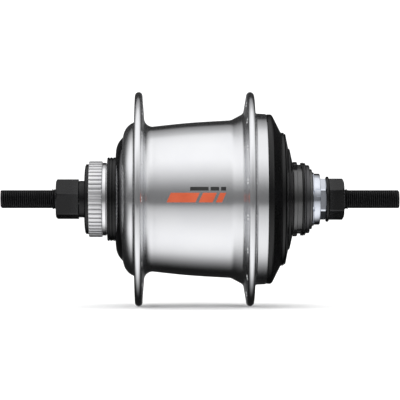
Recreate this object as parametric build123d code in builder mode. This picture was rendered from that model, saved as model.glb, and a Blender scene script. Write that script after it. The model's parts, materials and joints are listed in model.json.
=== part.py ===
from build123d import *
from math import acos, atan2, cos, degrees, hypot, pi, radians, sin, tan
import os

# Geared bicycle hub, millimetres.
# +X runs along the axle towards the drive side, +Z is up, and the origin lies on the
# axle's centre line, midway between the outer faces of the two locknuts.

# --- driving dimensions -------------------------------------------------------------
AXLE_LENGTH = 187.0
OVER_LOCKNUTS = 135.0
AXLE_R = 4.76                # 3/8 inch axle, 26 threads to the inch
AXLE_CORE_R = 5.2            # thicker middle that carries the pawls
AXLE_CORE = (-34.0, 6.0)
FLAT_ACROSS = 8.4            # flats at the axle ends
FLAT_START = 69.3
AXLE_CHAMFER = 0.7

NUT_AF = 17.0                # hexagon across flats
NUT_CORNER_R = NUT_AF / 2 / cos(pi / 6)
NUT_FACE_R = 8.3             # outer face left by the corner chamfer
LEFT_NUT_X = (-OVER_LOCKNUTS / 2, -56.8)
RIGHT_NUT_X = (60.4, OVER_LOCKNUTS / 2)
STOP_NUT_X = (56.2, 58.8)
LEFT_NUT_CORNER = 167
RIGHT_NUT_CORNER = 153.6
SPACER_R = 8.6
WASHER_R = 10.6

FLANGE_R = 50.25
FLANGE_NOSE_R = 1.75
LEFT_SPOKE_PCD = 92.6
RIGHT_SPOKE_PCD = 93.8
SPOKE_HOLE_R = 1.45
SPOKES_PER_FLANGE = 18
LEFT_FLANGE_X = -28.4
RIGHT_FLANGE_X = 23.1
SHELL_RIGHT_X = 31.0
SHELL_LEFT_X = -39.4
SHELL_LEFT_BORE_R = 16.7
CUP_SEAT_R = 35.75           # right ball cup in the shell
RACE_SEAT_R = 29.2           # roller clutch race in the shell

SPLINE_TIP_R = 17.8          # brake rotor spline
SPLINE_ROOT_R = 16.9
SPLINE_TEETH = 48
SPLINE_END = (-52.0, -45.75)
ADAPTER_BORE_R = 13.9
SEAL_RING_R = 19.6
CAP_SPIGOT_R = 15.6          # thread cap in the rotor adapter
CAP_R = 16.4
COVER_SPIGOT_R = 36.85       # dust cover over the right ball cup
COVER_R = 39.8

# Driver: sprocket seat with three lug slots, and inner splines for the clutch ring
NECK_R = 15.5
SEAT_X = (43.5, 45.3)
SEAT_R = 17.5
LAND_R = 17.1                # between the sprocket seat and the snap ring
LUG_ANGLES = (3, 123, 243)
LUG_HALF_ANGLE = 9
VALLEY_X = (45.5, 47.1)      # hollows above and below, behind the sprocket seat
VALLEY_FLOOR_R = 16.2
VALLEY_ANGLES = (90, 270)
VALLEY_HALF_ANGLE = 34
SNAP_RING_X = (47.5, 48.4)
SNAP_RING_R = (15.0, 17.2)
SNAP_RING_GAP = (54, 66)     # angles of its two ends
DRIVER_BORE_R = 12.5
DRIVER_SPLINE = (14.4, 13.5)
DRIVER_SPLINE_X = (6.5, 15.5)

# Clutch ring: outer dogs in the carrier, inner splines on the driver
CLUTCH_TEETH = 12
CLUTCH_RING_X = (5.4, 9.4)
CLUTCH_DOGS = (17.4, 16.6)
CARRIER_DOGS = (17.65, 16.7)
SPLINE_PLAY = 0.1

# Planetary gearing: three sun gears, three stepped planets and one ring gear
MODULE = 0.8
PRESSURE_ANGLE = radians(20)
BACKLASH = 0.12
ROOT_DEPTH = 1.0
PLANET_ORBIT_R = 18.0
PLANET_ANGLES = (90, 210, 330)
SUN_TEETH = {"a": 21, "b": 27, "c": 30}
PLANET_TEETH = {"a": 24, "b": 18, "c": 15}
RING_TEETH = 60
RING_TIP_R = 23.42
SUN_SPAN = {"a": (-21.4, -14.7), "b": (-14.4, -7.7), "c": (-7.3, 1.2)}
PLANET_SPAN = {"a": (-21.4, -14.6), "b": (-14.6, -7.5), "c": (-7.5, 1.3)}
PIN_R = 2.5
RUN = 0.05                   # radial running clearance of a shaft in its hole

# Planet carrier: a plate with a hub on the right, an end plate on the left
CARRIER_R = 23.0
CARRIER_PLATE_X = (1.6, 5.0)
CARRIER_HUB_END_X = 9.8
CARRIER_HUB_R = 19.5
END_PLATE_X = (-25.2, -22.0)
POST_ANGLES = (30, 150, 270)
POST_R = 3.0

# Ring gear drum
DRUM_R = 27.6
DRUM_COLLAR_R = 28.4
DRUM_BORE_R = 25.2
DRUM_START_X = -6.8
RING_TEETH_END_X = 1.4
WEB_X = (16.4, 18.2)
WEB_HOLE_R = 14.5

# Selector sleeve and the pawls that lock the sun gears to the axle
SLEEVE_IN_R = 5.3
SLEEVE_OUT_R = 5.8
SLEEVE_X = (-21.3, 55.0)
TONGUE_ANGLES = (90, 210, 330)
TONGUE_HALF_ANGLE = 14
TONGUE_WINDOW_X = (53.0, 55.0)
PAWL_WINDOW_HALF_ANGLE = 34
CONE_NECK_R = 8.0
SPRING_R = 7.2
SPRING_WIRE_R = 0.5
SUN_RATCHET = (5.9, 6.5)
SUN_RATCHET_TEETH = 12
SUN_PAWL_ANGLE = {"a": 90, "b": 210, "c": 330}
SUN_PAWL_PIVOT = (1.8, 3.7)
SUN_PAWL_TIP = (-1.9, 6.0)
SUN_PAWL_WIDTH = 3.0
SUN_HEEL_R = 0.9
SUN_TIP_WIDTH = 1.1
POCKET_FLOOR = 2.2
POCKET_HALF_WIDTH = 2.75
POCKET_END_GAP = 0.15
RETRACTED = 25               # swing of a sun pawl from locked to down, degrees
RATCHET_GAP_ANGLE = 2.0
SHIFT_TRAVEL = 75

# Pawls between the ring gear and the shell
RING_RATCHET = (29.2, 30.6)
RING_RATCHET_TEETH = 24
RING_PAWL_PIVOT = (-3.5, 27.2)
RING_PAWL_TIP = (4.2, 29.9)
RING_PAWL_SPAN = (9.2, 14.0)
RING_HEEL_R = 1.25
RING_TIP_WIDTH = 1.5
RING_POCKET_FLOOR = 25.75
RING_RATCHET_GAP = 0.95      # angle from a resting pawl to the steep face, degrees

# Bearings: centre x, pitch radius, ball radius, number of balls
LEFT_BEARING = (-43.0, 10.8, 2.5, 9)
RIGHT_BEARING = (34.0, 20.5, 2.75, 16)
DRIVER_BEARING = (46.5, 10.4, 2.0, 11)

# Roller clutch between the carrier and the shell
ROLLERS = 9
ROLLER_R = 2.0
ROLLER_ORBIT_R = 23.9
CLUTCH_SPAN = (-33.0, -26.2)
RACE_R = 26.0

os.makedirs("parts", exist_ok=True)


# --- helpers ------------------------------------------------------------------------
def turned(*points):
    """Half section (x, radius), to be revolved about the axle line."""
    with BuildSketch() as section:
        with BuildLine():
            Polyline(*points, close=True)
        make_face()
    return section.sketch


def tube(start, end, inner, outer):
    """Half section of a plain ring."""
    return turned((start, inner), (start, outer), (end, outer), (end, inner))


def polar(radius, angle):
    """Point of a cross section: y, z, with the angle in degrees from +Y to +Z."""
    return (radius * cos(radians(angle)), radius * sin(radians(angle)))


def cross_section(start, *points):
    """Closed polygon across the axle line at x = start."""
    with BuildSketch(Plane.YZ.offset(start)) as section:
        with BuildLine():
            Polyline(*points, close=True)
        make_face()
    return section.sketch


def sector(start, inner, outer, first, last):
    """Piece of a ring across the axle line, between two angles."""
    middle = (first + last) / 2
    with BuildSketch(Plane.YZ.offset(start)) as section:
        with BuildLine():
            ThreePointArc(polar(inner, first), polar(inner, middle), polar(inner, last))
            Line(polar(inner, last), polar(outer, last))
            ThreePointArc(polar(outer, last), polar(outer, middle), polar(outer, first))
            Line(polar(outer, first), polar(inner, first))
        make_face()
    return section.sketch


def hexagon(start, vertex_angle, across=NUT_AF):
    """Hexagon across the axle line with one corner at vertex_angle."""
    corner_r = across / 2 / cos(pi / 6)
    return cross_section(start, *[polar(corner_r, vertex_angle + 60 * k) for k in range(6)])


def spline_section(start, tip, root, teeth, share=0.5, phase=0.0):
    """Straight-sided teeth; share is the part of each pitch that a tooth takes."""
    pitch = 360 / teeth
    points = []
    for k in range(teeth):
        middle = phase + k * pitch
        half = pitch * share / 2
        points.append(polar(root, middle - half * 1.12))
        points.append(polar(tip, middle - half * 0.88))
        points.append(polar(tip, middle + half * 0.88))
        points.append(polar(root, middle + half * 1.12))
    return cross_section(start, *points)


def ratchet_section(start, tip, root, teeth, face_angle, hand):
    """Opening of an internal saw-tooth ratchet with a steep face at face_angle."""
    pitch = 360 / teeth
    points = []
    for k in range(teeth):
        angle = face_angle + hand * k * pitch
        points.append(polar(tip, angle))
        points.append(polar(root, angle))
    return cross_section(start, *points)


def involute(angle):
    return tan(angle) - angle


def gear_section(start, teeth, tip, root, phase, play, centre=(0.0, 0.0)):
    """Involute gear across the axle line; one tooth is centred on phase (degrees)."""
    pitch_r = MODULE * teeth / 2
    base_r = pitch_r * cos(PRESSURE_ANGLE)
    thickness = pi * MODULE / 2 - play

    def half_angle(radius):
        pressure = acos(min(1.0, base_r / max(radius, base_r)))
        half = thickness / (2 * pitch_r) + involute(PRESSURE_ANGLE) - involute(pressure)
        return degrees(half)

    def at(radius, angle):
        y, z = polar(radius, angle)
        return (y + centre[0], z + centre[1])

    flank = max(root + 0.02, base_r)
    middle = (flank + tip) / 2
    pitch = 360 / teeth
    with BuildSketch(Plane.YZ.offset(start)) as section:
        with BuildLine():
            for k in range(teeth):
                tooth = phase + k * pitch
                foot, rise, top = half_angle(flank), half_angle(middle), half_angle(tip)
                Line(at(root, tooth - foot), at(flank, tooth - foot))
                ThreePointArc(
                    at(flank, tooth - foot), at(middle, tooth - rise), at(tip, tooth - top)
                )
                ThreePointArc(at(tip, tooth - top), at(tip, tooth), at(tip, tooth + top))
                ThreePointArc(
                    at(tip, tooth + top), at(middle, tooth + rise), at(flank, tooth + foot)
                )
                Line(at(flank, tooth + foot), at(root, tooth + foot))
                Line(at(root, tooth + foot), at(root, tooth + pitch - foot))
        make_face()
    return section.sketch


def across_axle(point, angle):
    """Point given as (tangential, radial) about an arm that points along angle."""
    u, v = point
    turn = radians(angle - 90)
    return (u * cos(turn) - v * sin(turn), u * sin(turn) + v * cos(turn))


def turned_about(point, pivot, turn):
    """Place of a point after it has swung about a pivot by turn degrees."""
    du, dv = point[0] - pivot[0], point[1] - pivot[1]
    c, s = cos(radians(turn)), sin(radians(turn))
    return (pivot[0] + du * c - dv * s, pivot[1] + du * s + dv * c)


def pawl_section(start, pivot, tip, heel_r, tip_width, angle, turn=0):
    """Pawl: a round heel about its pivot and a tapered arm with a radial end face."""
    du, dv = tip[0] - pivot[0], tip[1] - pivot[1]
    length = hypot(du, dv)
    along = (du / length, dv / length)
    outward = (-along[1], along[0]) if du > 0 else (along[1], -along[0])
    heel_back = (pivot[0] - along[0] * heel_r, pivot[1] - along[1] * heel_r)
    heel_out = (pivot[0] + outward[0] * heel_r, pivot[1] + outward[1] * heel_r)
    heel_in = (pivot[0] - outward[0] * heel_r, pivot[1] - outward[1] * heel_r)
    shrink = 1 - tip_width / hypot(*tip)
    tip_in = (tip[0] * shrink, tip[1] * shrink)
    outline = [heel_out, heel_back, heel_in, tip_in, tip]
    placed = [across_axle(turned_about(p, pivot, turn), angle) for p in outline]
    with BuildSketch(Plane.YZ.offset(start)) as section:
        with BuildLine():
            ThreePointArc(*placed[:3])
            Polyline(*placed[2:], placed[0])
        make_face()
    return section.sketch


def cut_race(bearing, clearance=0.07):
    """Hollow a ball race out of the part being made."""
    x, pitch_r, ball_r, _ = bearing
    with Locations(Location((x, 0, 0), (0, 90, 0))):
        Torus(pitch_r, ball_r + clearance, mode=Mode.SUBTRACT)


def ball_places(bearing):
    x, pitch_r, _, count = bearing
    return [(x, *polar(pitch_r, 360 * k / count)) for k in range(count)]


def save(part, name):
    part.label = name
    export_step(part, f"parts/{name}.step")


# --- axle and what is fixed on it ---------------------------------------------------
sun_pawl_start = {
    key: (SUN_SPAN[key][0] + SUN_SPAN[key][1] - SUN_PAWL_WIDTH) / 2 for key in SUN_SPAN
}

with BuildPart() as axle:
    end = AXLE_LENGTH / 2
    revolve(
        turned(
            (-end, 0),
            (-end, AXLE_R - AXLE_CHAMFER),
            (-end + AXLE_CHAMFER, AXLE_R),
            (AXLE_CORE[0], AXLE_R),
            (AXLE_CORE[0], AXLE_CORE_R),
            (AXLE_CORE[1], AXLE_CORE_R),
            (AXLE_CORE[1], AXLE_R),
            (end - AXLE_CHAMFER, AXLE_R),
            (end, AXLE_R - AXLE_CHAMFER),
            (end, 0),
        ),
        axis=Axis.X,
    )
    flat_length = end - FLAT_START + 1
    for side in (-1, 1):
        for face in (-1, 1):
            x = side * (FLAT_START + flat_length / 2)
            with Locations((x, 0, face * (FLAT_ACROSS / 2 + 2))):
                Box(flat_length, 2 * AXLE_R, 4, mode=Mode.SUBTRACT)
    for key, angle in SUN_PAWL_ANGLE.items():
        corners = [
            (-POCKET_HALF_WIDTH, POCKET_FLOOR),
            (POCKET_HALF_WIDTH, POCKET_FLOOR),
            (POCKET_HALF_WIDTH, AXLE_CORE_R + 1),
            (-POCKET_HALF_WIDTH, AXLE_CORE_R + 1),
        ]
        pocket = cross_section(
            sun_pawl_start[key] - POCKET_END_GAP, *[across_axle(p, angle) for p in corners]
        )
        extrude(pocket, amount=SUN_PAWL_WIDTH + 2 * POCKET_END_GAP, mode=Mode.SUBTRACT)
save(axle.part, "axle")

with BuildPart() as axle_circlip:
    ring = sector(-35.4, AXLE_R, 7.6, -240, 60)
    extrude(ring, amount=1.2)
save(axle_circlip.part, "axle_circlip")

with BuildPart() as left_cone:
    revolve(
        turned(
            (-50.5, AXLE_R),
            (-50.5, SPACER_R),
            (-46.6, SPACER_R),
            (-46.2, 11.0),
            (-45.2, 11.0),
            (-42.0, 8.7),
            (-40.0, 8.2),
            (-40.0, AXLE_R),
        ),
        axis=Axis.X,
    )
    cut_race(LEFT_BEARING)
save(left_cone.part, "left_cone")

with BuildPart() as left_spacer:
    revolve(
        turned(
            (LEFT_NUT_X[1], AXLE_R),
            (LEFT_NUT_X[1], SPACER_R - 0.2),
            (LEFT_NUT_X[1] + 0.2, SPACER_R),
            (-50.5, SPACER_R),
            (-50.5, AXLE_R),
        ),
        axis=Axis.X,
    )
save(left_spacer.part, "left_spacer")


def nut_envelope(inner_x, outer_x, corner_r, face_r, slope=0.5):
    """Turned outline that chamfers the corners of a nut's outer face."""
    direction = 1 if outer_x > inner_x else -1
    return turned(
        (inner_x, 0),
        (inner_x, corner_r),
        (outer_x - direction * (corner_r - face_r) * slope, corner_r),
        (outer_x, face_r),
        (outer_x, 0),
    )


with BuildPart() as left_locknut:
    extrude(hexagon(LEFT_NUT_X[0], LEFT_NUT_CORNER), amount=LEFT_NUT_X[1] - LEFT_NUT_X[0])
    revolve(
        nut_envelope(LEFT_NUT_X[1], LEFT_NUT_X[0], NUT_CORNER_R + 0.1, NUT_FACE_R),
        axis=Axis.X,
        mode=Mode.INTERSECT,
    )
    revolve(tube(-70, -50, 0, AXLE_R), axis=Axis.X, mode=Mode.SUBTRACT)
save(left_locknut.part, "left_locknut")

with BuildPart() as right_locknut:
    extrude(hexagon(RIGHT_NUT_X[0], RIGHT_NUT_CORNER), amount=RIGHT_NUT_X[1] - RIGHT_NUT_X[0])
    revolve(
        nut_envelope(RIGHT_NUT_X[0], RIGHT_NUT_X[1], NUT_CORNER_R + 0.1, NUT_FACE_R),
        axis=Axis.X,
        mode=Mode.INTERSECT,
    )
    revolve(tube(50, 70, 0, AXLE_R), axis=Axis.X, mode=Mode.SUBTRACT)
save(right_locknut.part, "right_locknut")

with BuildPart() as right_stop_nut:
    extrude(hexagon(STOP_NUT_X[0], RIGHT_NUT_CORNER), amount=STOP_NUT_X[1] - STOP_NUT_X[0])
    revolve(tube(55, 60, 0, AXLE_R), axis=Axis.X, mode=Mode.SUBTRACT)
save(right_stop_nut.part, "right_stop_nut")

with BuildPart() as right_washer:
    revolve(
        turned(
            (STOP_NUT_X[1], AXLE_R),
            (STOP_NUT_X[1], 8.4),
            (STOP_NUT_X[1] + 0.1, WASHER_R - 0.4),
            (STOP_NUT_X[1] + 0.4, WASHER_R),
            (RIGHT_NUT_X[0] - 0.4, WASHER_R),
            (RIGHT_NUT_X[0] - 0.1, WASHER_R - 0.4),
            (RIGHT_NUT_X[0], 8.4),
            (RIGHT_NUT_X[0], AXLE_R),
        ),
        axis=Axis.X,
    )
save(right_washer.part, "right_washer")

# The right cone is hollow, so that the selector sleeve passes through it; three wide
# windows in its neck let the sleeve's tongues reach the shift ring and turn.
with BuildPart() as right_cone:
    revolve(
        turned(
            (43.0, 6.05),
            (43.0, 7.9),
            (45.4, 8.5),
            (48.2, 10.3),
            (48.4, 10.9),
            (49.3, 10.9),
            (49.3, 8.3),
            (52.5, 8.3),
            (52.5, CONE_NECK_R),
            (STOP_NUT_X[0], CONE_NECK_R),
            (STOP_NUT_X[0], AXLE_R),
            (52.0, AXLE_R),
            (52.0, 6.05),
        ),
        axis=Axis.X,
    )
    cut_race(DRIVER_BEARING)
    for angle in TONGUE_ANGLES:
        first = angle - TONGUE_HALF_ANGLE - 1.5
        last = angle + TONGUE_HALF_ANGLE + SHIFT_TRAVEL + 1.5
        window = sector(TONGUE_WINDOW_X[0], 5.1, CONE_NECK_R + 0.5, first, last)
        extrude(window, amount=TONGUE_WINDOW_X[1] - TONGUE_WINDOW_X[0], mode=Mode.SUBTRACT)
    revolve(tube(51.9, TONGUE_WINDOW_X[1], AXLE_R, 6.05), axis=Axis.X, mode=Mode.SUBTRACT)
save(right_cone.part, "right_cone")

with BuildPart() as sun_thrust_washer:
    revolve(tube(-21.9, -21.5, AXLE_CORE_R + RUN, 8.2), axis=Axis.X)
save(sun_thrust_washer.part, "sun_thrust_washer")


def leaf_section(start, floor, half_width, thickness, crown, angle):
    """Thin bowed strip that lies on a pocket's floor."""
    lower = [(-half_width, floor), (0, floor + crown), (half_width, floor)]
    upper = [(u, v + thickness) for u, v in lower]
    lower = [across_axle(p, angle) for p in lower]
    upper = [across_axle(p, angle) for p in reversed(upper)]
    with BuildSketch(Plane.YZ.offset(start)) as section:
        with BuildLine():
            ThreePointArc(*lower)
            Line(lower[2], upper[0])
            ThreePointArc(*upper)
            Line(upper[2], lower[0])
        make_face()
    return section.sketch


with BuildPart() as sun_pawl_springs:
    for key, angle in SUN_PAWL_ANGLE.items():
        leaf = leaf_section(sun_pawl_start[key] + 1.0, POCKET_FLOOR, 2.2, 0.2, 0.15, angle)
        extrude(leaf, amount=1.0)
save(sun_pawl_springs.part, "sun_pawl_springs")

with BuildPart() as return_spring:
    with BuildLine() as coil:
        Helix(
            pitch=1.6, height=12.0, radius=SPRING_R, center=(30.0, 0, 0), direction=(1, 0, 0)
        )
    with BuildSketch(Plane(coil.line @ 0, z_dir=coil.line % 0)):
        Circle(SPRING_WIRE_R)
    sweep(is_frenet=True)
save(return_spring.part, "return_spring")

# --- sun gears and their pawls ------------------------------------------------------
pawl_tip_angle = degrees(atan2(SUN_PAWL_TIP[1], SUN_PAWL_TIP[0]))


def sun_gear(key, face_angle):
    """Sun gear with an internal ratchet that a pawl in the axle locks."""
    start, end_x = SUN_SPAN[key]
    teeth = SUN_TEETH[key]
    pitch_r = MODULE * teeth / 2
    outline = gear_section(
        start, teeth, pitch_r + MODULE, pitch_r - ROOT_DEPTH, PLANET_ANGLES[0], BACKLASH
    )
    bore = ratchet_section(start, *SUN_RATCHET, SUN_RATCHET_TEETH, face_angle, -1)
    with BuildPart() as gear:
        extrude(outline, amount=end_x - start)
        extrude(bore, amount=end_x - start, mode=Mode.SUBTRACT)
    return gear.part


for key, pocket_angle in SUN_PAWL_ANGLE.items():
    face_angle = pocket_angle - 90 + pawl_tip_angle + RATCHET_GAP_ANGLE
    save(sun_gear(key, face_angle), f"sun_gear_{key}")

for key, angle in SUN_PAWL_ANGLE.items():
    turn = 0 if key == "c" else RETRACTED
    shape = pawl_section(
        sun_pawl_start[key],
        SUN_PAWL_PIVOT,
        SUN_PAWL_TIP,
        SUN_HEEL_R,
        SUN_TIP_WIDTH,
        angle,
        turn,
    )
    with BuildPart() as sun_pawl:
        extrude(shape, amount=SUN_PAWL_WIDTH)
    save(sun_pawl.part, f"sun_pawl_{key}")

# --- selector -----------------------------------------------------------------------
with BuildPart() as selector_sleeve:
    revolve(tube(*SLEEVE_X, SLEEVE_IN_R, SLEEVE_OUT_R), axis=Axis.X)
    for key, angle in SUN_PAWL_ANGLE.items():
        first = angle - PAWL_WINDOW_HALF_ANGLE - SHIFT_TRAVEL
        last = angle + PAWL_WINDOW_HALF_ANGLE
        window = sector(sun_pawl_start[key] - 0.3, 5.0, 6.2, first, last)
        extrude(window, amount=SUN_PAWL_WIDTH + 0.6, mode=Mode.SUBTRACT)
    for angle in TONGUE_ANGLES:
        tongue = sector(
            TONGUE_WINDOW_X[0] + 0.2, 5.5, 9.0, angle - TONGUE_HALF_ANGLE, angle + TONGUE_HALF_ANGLE
        )
        extrude(tongue, amount=1.6)
    revolve(tube(TONGUE_WINDOW_X[1] - 0.1, 56, 5.0, 6.0), axis=Axis.X, mode=Mode.SUBTRACT)
save(selector_sleeve.part, "selector_sleeve")

with BuildPart() as shift_ring:
    revolve(
        turned(
            (52.7, 8.45),
            (52.7, 12.6),
            (53.2, 12.6),
            (53.4, 12.0),
            (55.8, 12.0),
            (56.1, 11.7),
            (56.1, 8.15),
            (54.95, 8.15),
            (54.95, 9.0),
            (53.1, 9.0),
            (53.1, 8.45),
        ),
        axis=Axis.X,
    )
    notch_angles = (20, 68, 116, 166, 202, 240, 290, 335)
    for angle in notch_angles:
        notch = sector(52.6, 11.3, 13.0, angle - 4, angle + 4)
        extrude(notch, amount=1.0, mode=Mode.SUBTRACT)
    for angle in (45, 165, 285):
        flat = sector(54.2, 11.3, 12.5, angle - 9, angle + 9)
        extrude(flat, amount=2.0, mode=Mode.SUBTRACT)
save(shift_ring.part, "shift_ring")

# --- hub shell and what turns with it -----------------------------------------------
def flange_outline(x, left_foot, right_foot, left_half, right_half):
    """Left face, rounded rim and right face of a flange, as connected edges."""
    shoulder = FLANGE_R - FLANGE_NOSE_R
    Line(left_foot, (x - left_half, shoulder))
    ThreePointArc((x - left_half, shoulder), (x, FLANGE_R), (x + right_half, shoulder))
    Line((x + right_half, shoulder), right_foot)


with BuildPart() as hub_shell:
    with BuildSketch() as shell_section:
        with BuildLine():
            ThreePointArc((SHELL_LEFT_X, 22.4), (-38.35, 26.3), (-36.3, 28.9))
            Line((-36.3, 28.9), (-35.9, 30.4))
            ThreePointArc((-35.9, 30.4), (-34.4, 33.6), (-31.6, 35.8))
            ThreePointArc((-31.6, 35.8), (-30.9, 36.4), (-30.6, 37.4))
            flange_outline(LEFT_FLANGE_X, (-30.6, 37.4), (-26.2, 37.6), 1.75, 1.75)
            ThreePointArc((-26.2, 37.6), (-25.1, 35.3), (-22.4, 34.05))
            Spline((-22.4, 34.05), (-9.4, 35.45), (0, 36.2), (13.6, 37.0))
            ThreePointArc((13.6, 37.0), (14.7, 37.25), (15.7, 37.75))
            Line((15.7, 37.75), (19.2, 39.6))
            ThreePointArc((19.2, 39.6), (20.1, 40.5), (20.5, 41.8))
            flange_outline(RIGHT_FLANGE_X, (20.5, 41.8), (25.75, 41.5), 1.8, 1.8)
            ThreePointArc((25.75, 41.5), (25.95, 40.7), (26.5, 40.2))
            Polyline(
                (26.5, 40.2),
                (30.5, 40.0),
                (SHELL_RIGHT_X, 39.7),
                (SHELL_RIGHT_X, CUP_SEAT_R),
                (16.9, CUP_SEAT_R),
                (16.9, 33.6),
                (10.0, 33.6),
                (-5.0, 31.3),
                (-25.5, 31.3),
                (-25.5, RACE_SEAT_R),
                (-33.5, RACE_SEAT_R),
                (-36.0, 24.0),
                (-36.0, SHELL_LEFT_BORE_R),
                (SHELL_LEFT_X, SHELL_LEFT_BORE_R),
                (SHELL_LEFT_X, 22.4),
            )
        make_face()
    revolve(axis=Axis.X)
    hole_pitch = 360 / SPOKES_PER_FLANGE
    for x, pcd, first in (
        (LEFT_FLANGE_X, LEFT_SPOKE_PCD, 0.0),
        (RIGHT_FLANGE_X, RIGHT_SPOKE_PCD, hole_pitch / 2),
    ):
        with BuildSketch(Plane.YZ.offset(x - 4)):
            with PolarLocations(pcd / 2, SPOKES_PER_FLANGE, start_angle=first):
                Circle(SPOKE_HOLE_R)
        extrude(amount=8, mode=Mode.SUBTRACT)
save(hub_shell.part, "hub_shell")

with BuildPart() as rotor_gaps:
    revolve(tube(*SPLINE_END, 16.0, SPLINE_TIP_R + 1), axis=Axis.X)
    teeth = spline_section(
        SPLINE_END[0], SPLINE_TIP_R + 0.3, SPLINE_ROOT_R, SPLINE_TEETH, 0.62, 180 / SPLINE_TEETH
    )
    extrude(teeth, amount=SPLINE_END[1] - SPLINE_END[0], mode=Mode.SUBTRACT)

with BuildPart() as rotor_adapter:
    revolve(
        turned(
            (SPLINE_END[0], CAP_SPIGOT_R),
            (SPLINE_END[0], SPLINE_TIP_R - 0.4),
            (SPLINE_END[0] + 0.4, SPLINE_TIP_R),
            (SPLINE_END[1], SPLINE_TIP_R),
            (SPLINE_END[1], 16.6),
            (-45.5, 16.6),
            (-45.3, 17.2),
            (-44.9, 17.2),
            (-44.2, SHELL_LEFT_BORE_R),
            (-36.0, SHELL_LEFT_BORE_R),
            (-36.0, ADAPTER_BORE_R),
            (-49.0, ADAPTER_BORE_R),
            (-49.0, CAP_SPIGOT_R),
        ),
        axis=Axis.X,
    )
    add(rotor_gaps.part, mode=Mode.SUBTRACT)
save(rotor_adapter.part, "rotor_adapter")

with BuildPart() as left_seal_ring:
    revolve(
        turned(
            (-43.4, SHELL_LEFT_BORE_R),
            (-43.4, SEAL_RING_R - 0.3),
            (-43.1, SEAL_RING_R),
            (-42.6, SEAL_RING_R),
            (-42.4, SEAL_RING_R - 0.3),
            (-42.1, SEAL_RING_R - 0.3),
            (-41.9, SEAL_RING_R),
            (-41.2, SEAL_RING_R),
            (-41.0, SEAL_RING_R - 0.3),
            (-40.7, SEAL_RING_R - 0.3),
            (-40.5, SEAL_RING_R),
            (SHELL_LEFT_X, SEAL_RING_R),
            (SHELL_LEFT_X, SHELL_LEFT_BORE_R),
        ),
        axis=Axis.X,
    )
save(left_seal_ring.part, "left_seal_ring")

with BuildPart() as rotor_thread_cap:
    revolve(
        turned(
            (-54.0, 9.1),
            (-54.0, 13.8),
            (-53.75, 15.6),
            (-53.4, CAP_R),
            (SPLINE_END[0], CAP_R),
            (SPLINE_END[0], CAP_SPIGOT_R),
            (-49.4, CAP_SPIGOT_R),
            (-49.4, 14.4),
            (-52.0, 14.4),
            (-52.0, 9.1),
        ),
        axis=Axis.X,
    )
save(rotor_thread_cap.part, "rotor_thread_cap")

with BuildPart() as left_ball_cup:
    revolve(
        turned(
            (-46.0, ADAPTER_BORE_R),
            (-46.0, 13.3),
            (-43.6, 13.3),
            (-40.7, 11.2),
            (-40.7, 9.4),
            (-38.6, 9.4),
            (-38.6, ADAPTER_BORE_R),
        ),
        axis=Axis.X,
    )
    cut_race(LEFT_BEARING)
save(left_ball_cup.part, "left_ball_cup")

with BuildPart() as clutch_race:
    revolve(tube(-33.5, -25.5, RACE_R, RACE_SEAT_R), axis=Axis.X)
save(clutch_race.part, "clutch_race")

ring_tip_angle = degrees(atan2(RING_PAWL_TIP[1], RING_PAWL_TIP[0]))
with BuildPart() as right_ball_cup:
    revolve(
        turned(
            (8.5, RING_RATCHET[0]),
            (8.5, 33.2),
            (16.9, 33.2),
            (16.9, CUP_SEAT_R),
            (SHELL_RIGHT_X, CUP_SEAT_R),
            (SHELL_RIGHT_X, COVER_SPIGOT_R),
            (32.6, COVER_SPIGOT_R),
            (32.6, 27.5),
            (36.0, 27.5),
            (36.0, 22.2),
            (34.0, 22.2),
            (31.6, 20.3),
            (29.5, 20.3),
            (29.5, 31.2),
            (16.0, 31.2),
            (16.0, RING_RATCHET[0]),
        ),
        axis=Axis.X,
    )
    cut_race(RIGHT_BEARING)
    steep_face = ring_tip_angle - RING_RATCHET_GAP
    opening = ratchet_section(8.4, *RING_RATCHET, RING_RATCHET_TEETH, steep_face, 1)
    extrude(opening, amount=7.6, mode=Mode.SUBTRACT)
save(right_ball_cup.part, "right_ball_cup")

with BuildPart() as right_cover:
    with BuildSketch():
        with BuildLine():
            Polyline(
                (SHELL_RIGHT_X, COVER_SPIGOT_R),
                (SHELL_RIGHT_X, COVER_R - 0.5),
                (31.3, COVER_R),
                (32.9, COVER_R),
            )
            ThreePointArc((32.9, COVER_R), (33.6, 39.35), (34.1, 38.6))
            Polyline(
                (34.1, 38.6),
                (37.6, 31.6),
                (38.0, 31.2),
                (39.2, 31.2),
                (39.2, 29.2),
                (37.1, 29.2),
                (33.2, COVER_SPIGOT_R),
                (SHELL_RIGHT_X, COVER_SPIGOT_R),
            )
        make_face()
    revolve(axis=Axis.X)
save(right_cover.part, "right_cover")

# --- driver -------------------------------------------------------------------------
with BuildPart() as driver_gaps:
    revolve(tube(*DRIVER_SPLINE_X, 13.0, DRIVER_SPLINE[0] + 1), axis=Axis.X)
    ribs = spline_section(
        DRIVER_SPLINE_X[0], DRIVER_SPLINE[0] + 0.4, DRIVER_SPLINE[1], CLUTCH_TEETH
    )
    extrude(ribs, amount=DRIVER_SPLINE_X[1] - DRIVER_SPLINE_X[0], mode=Mode.SUBTRACT)

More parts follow.
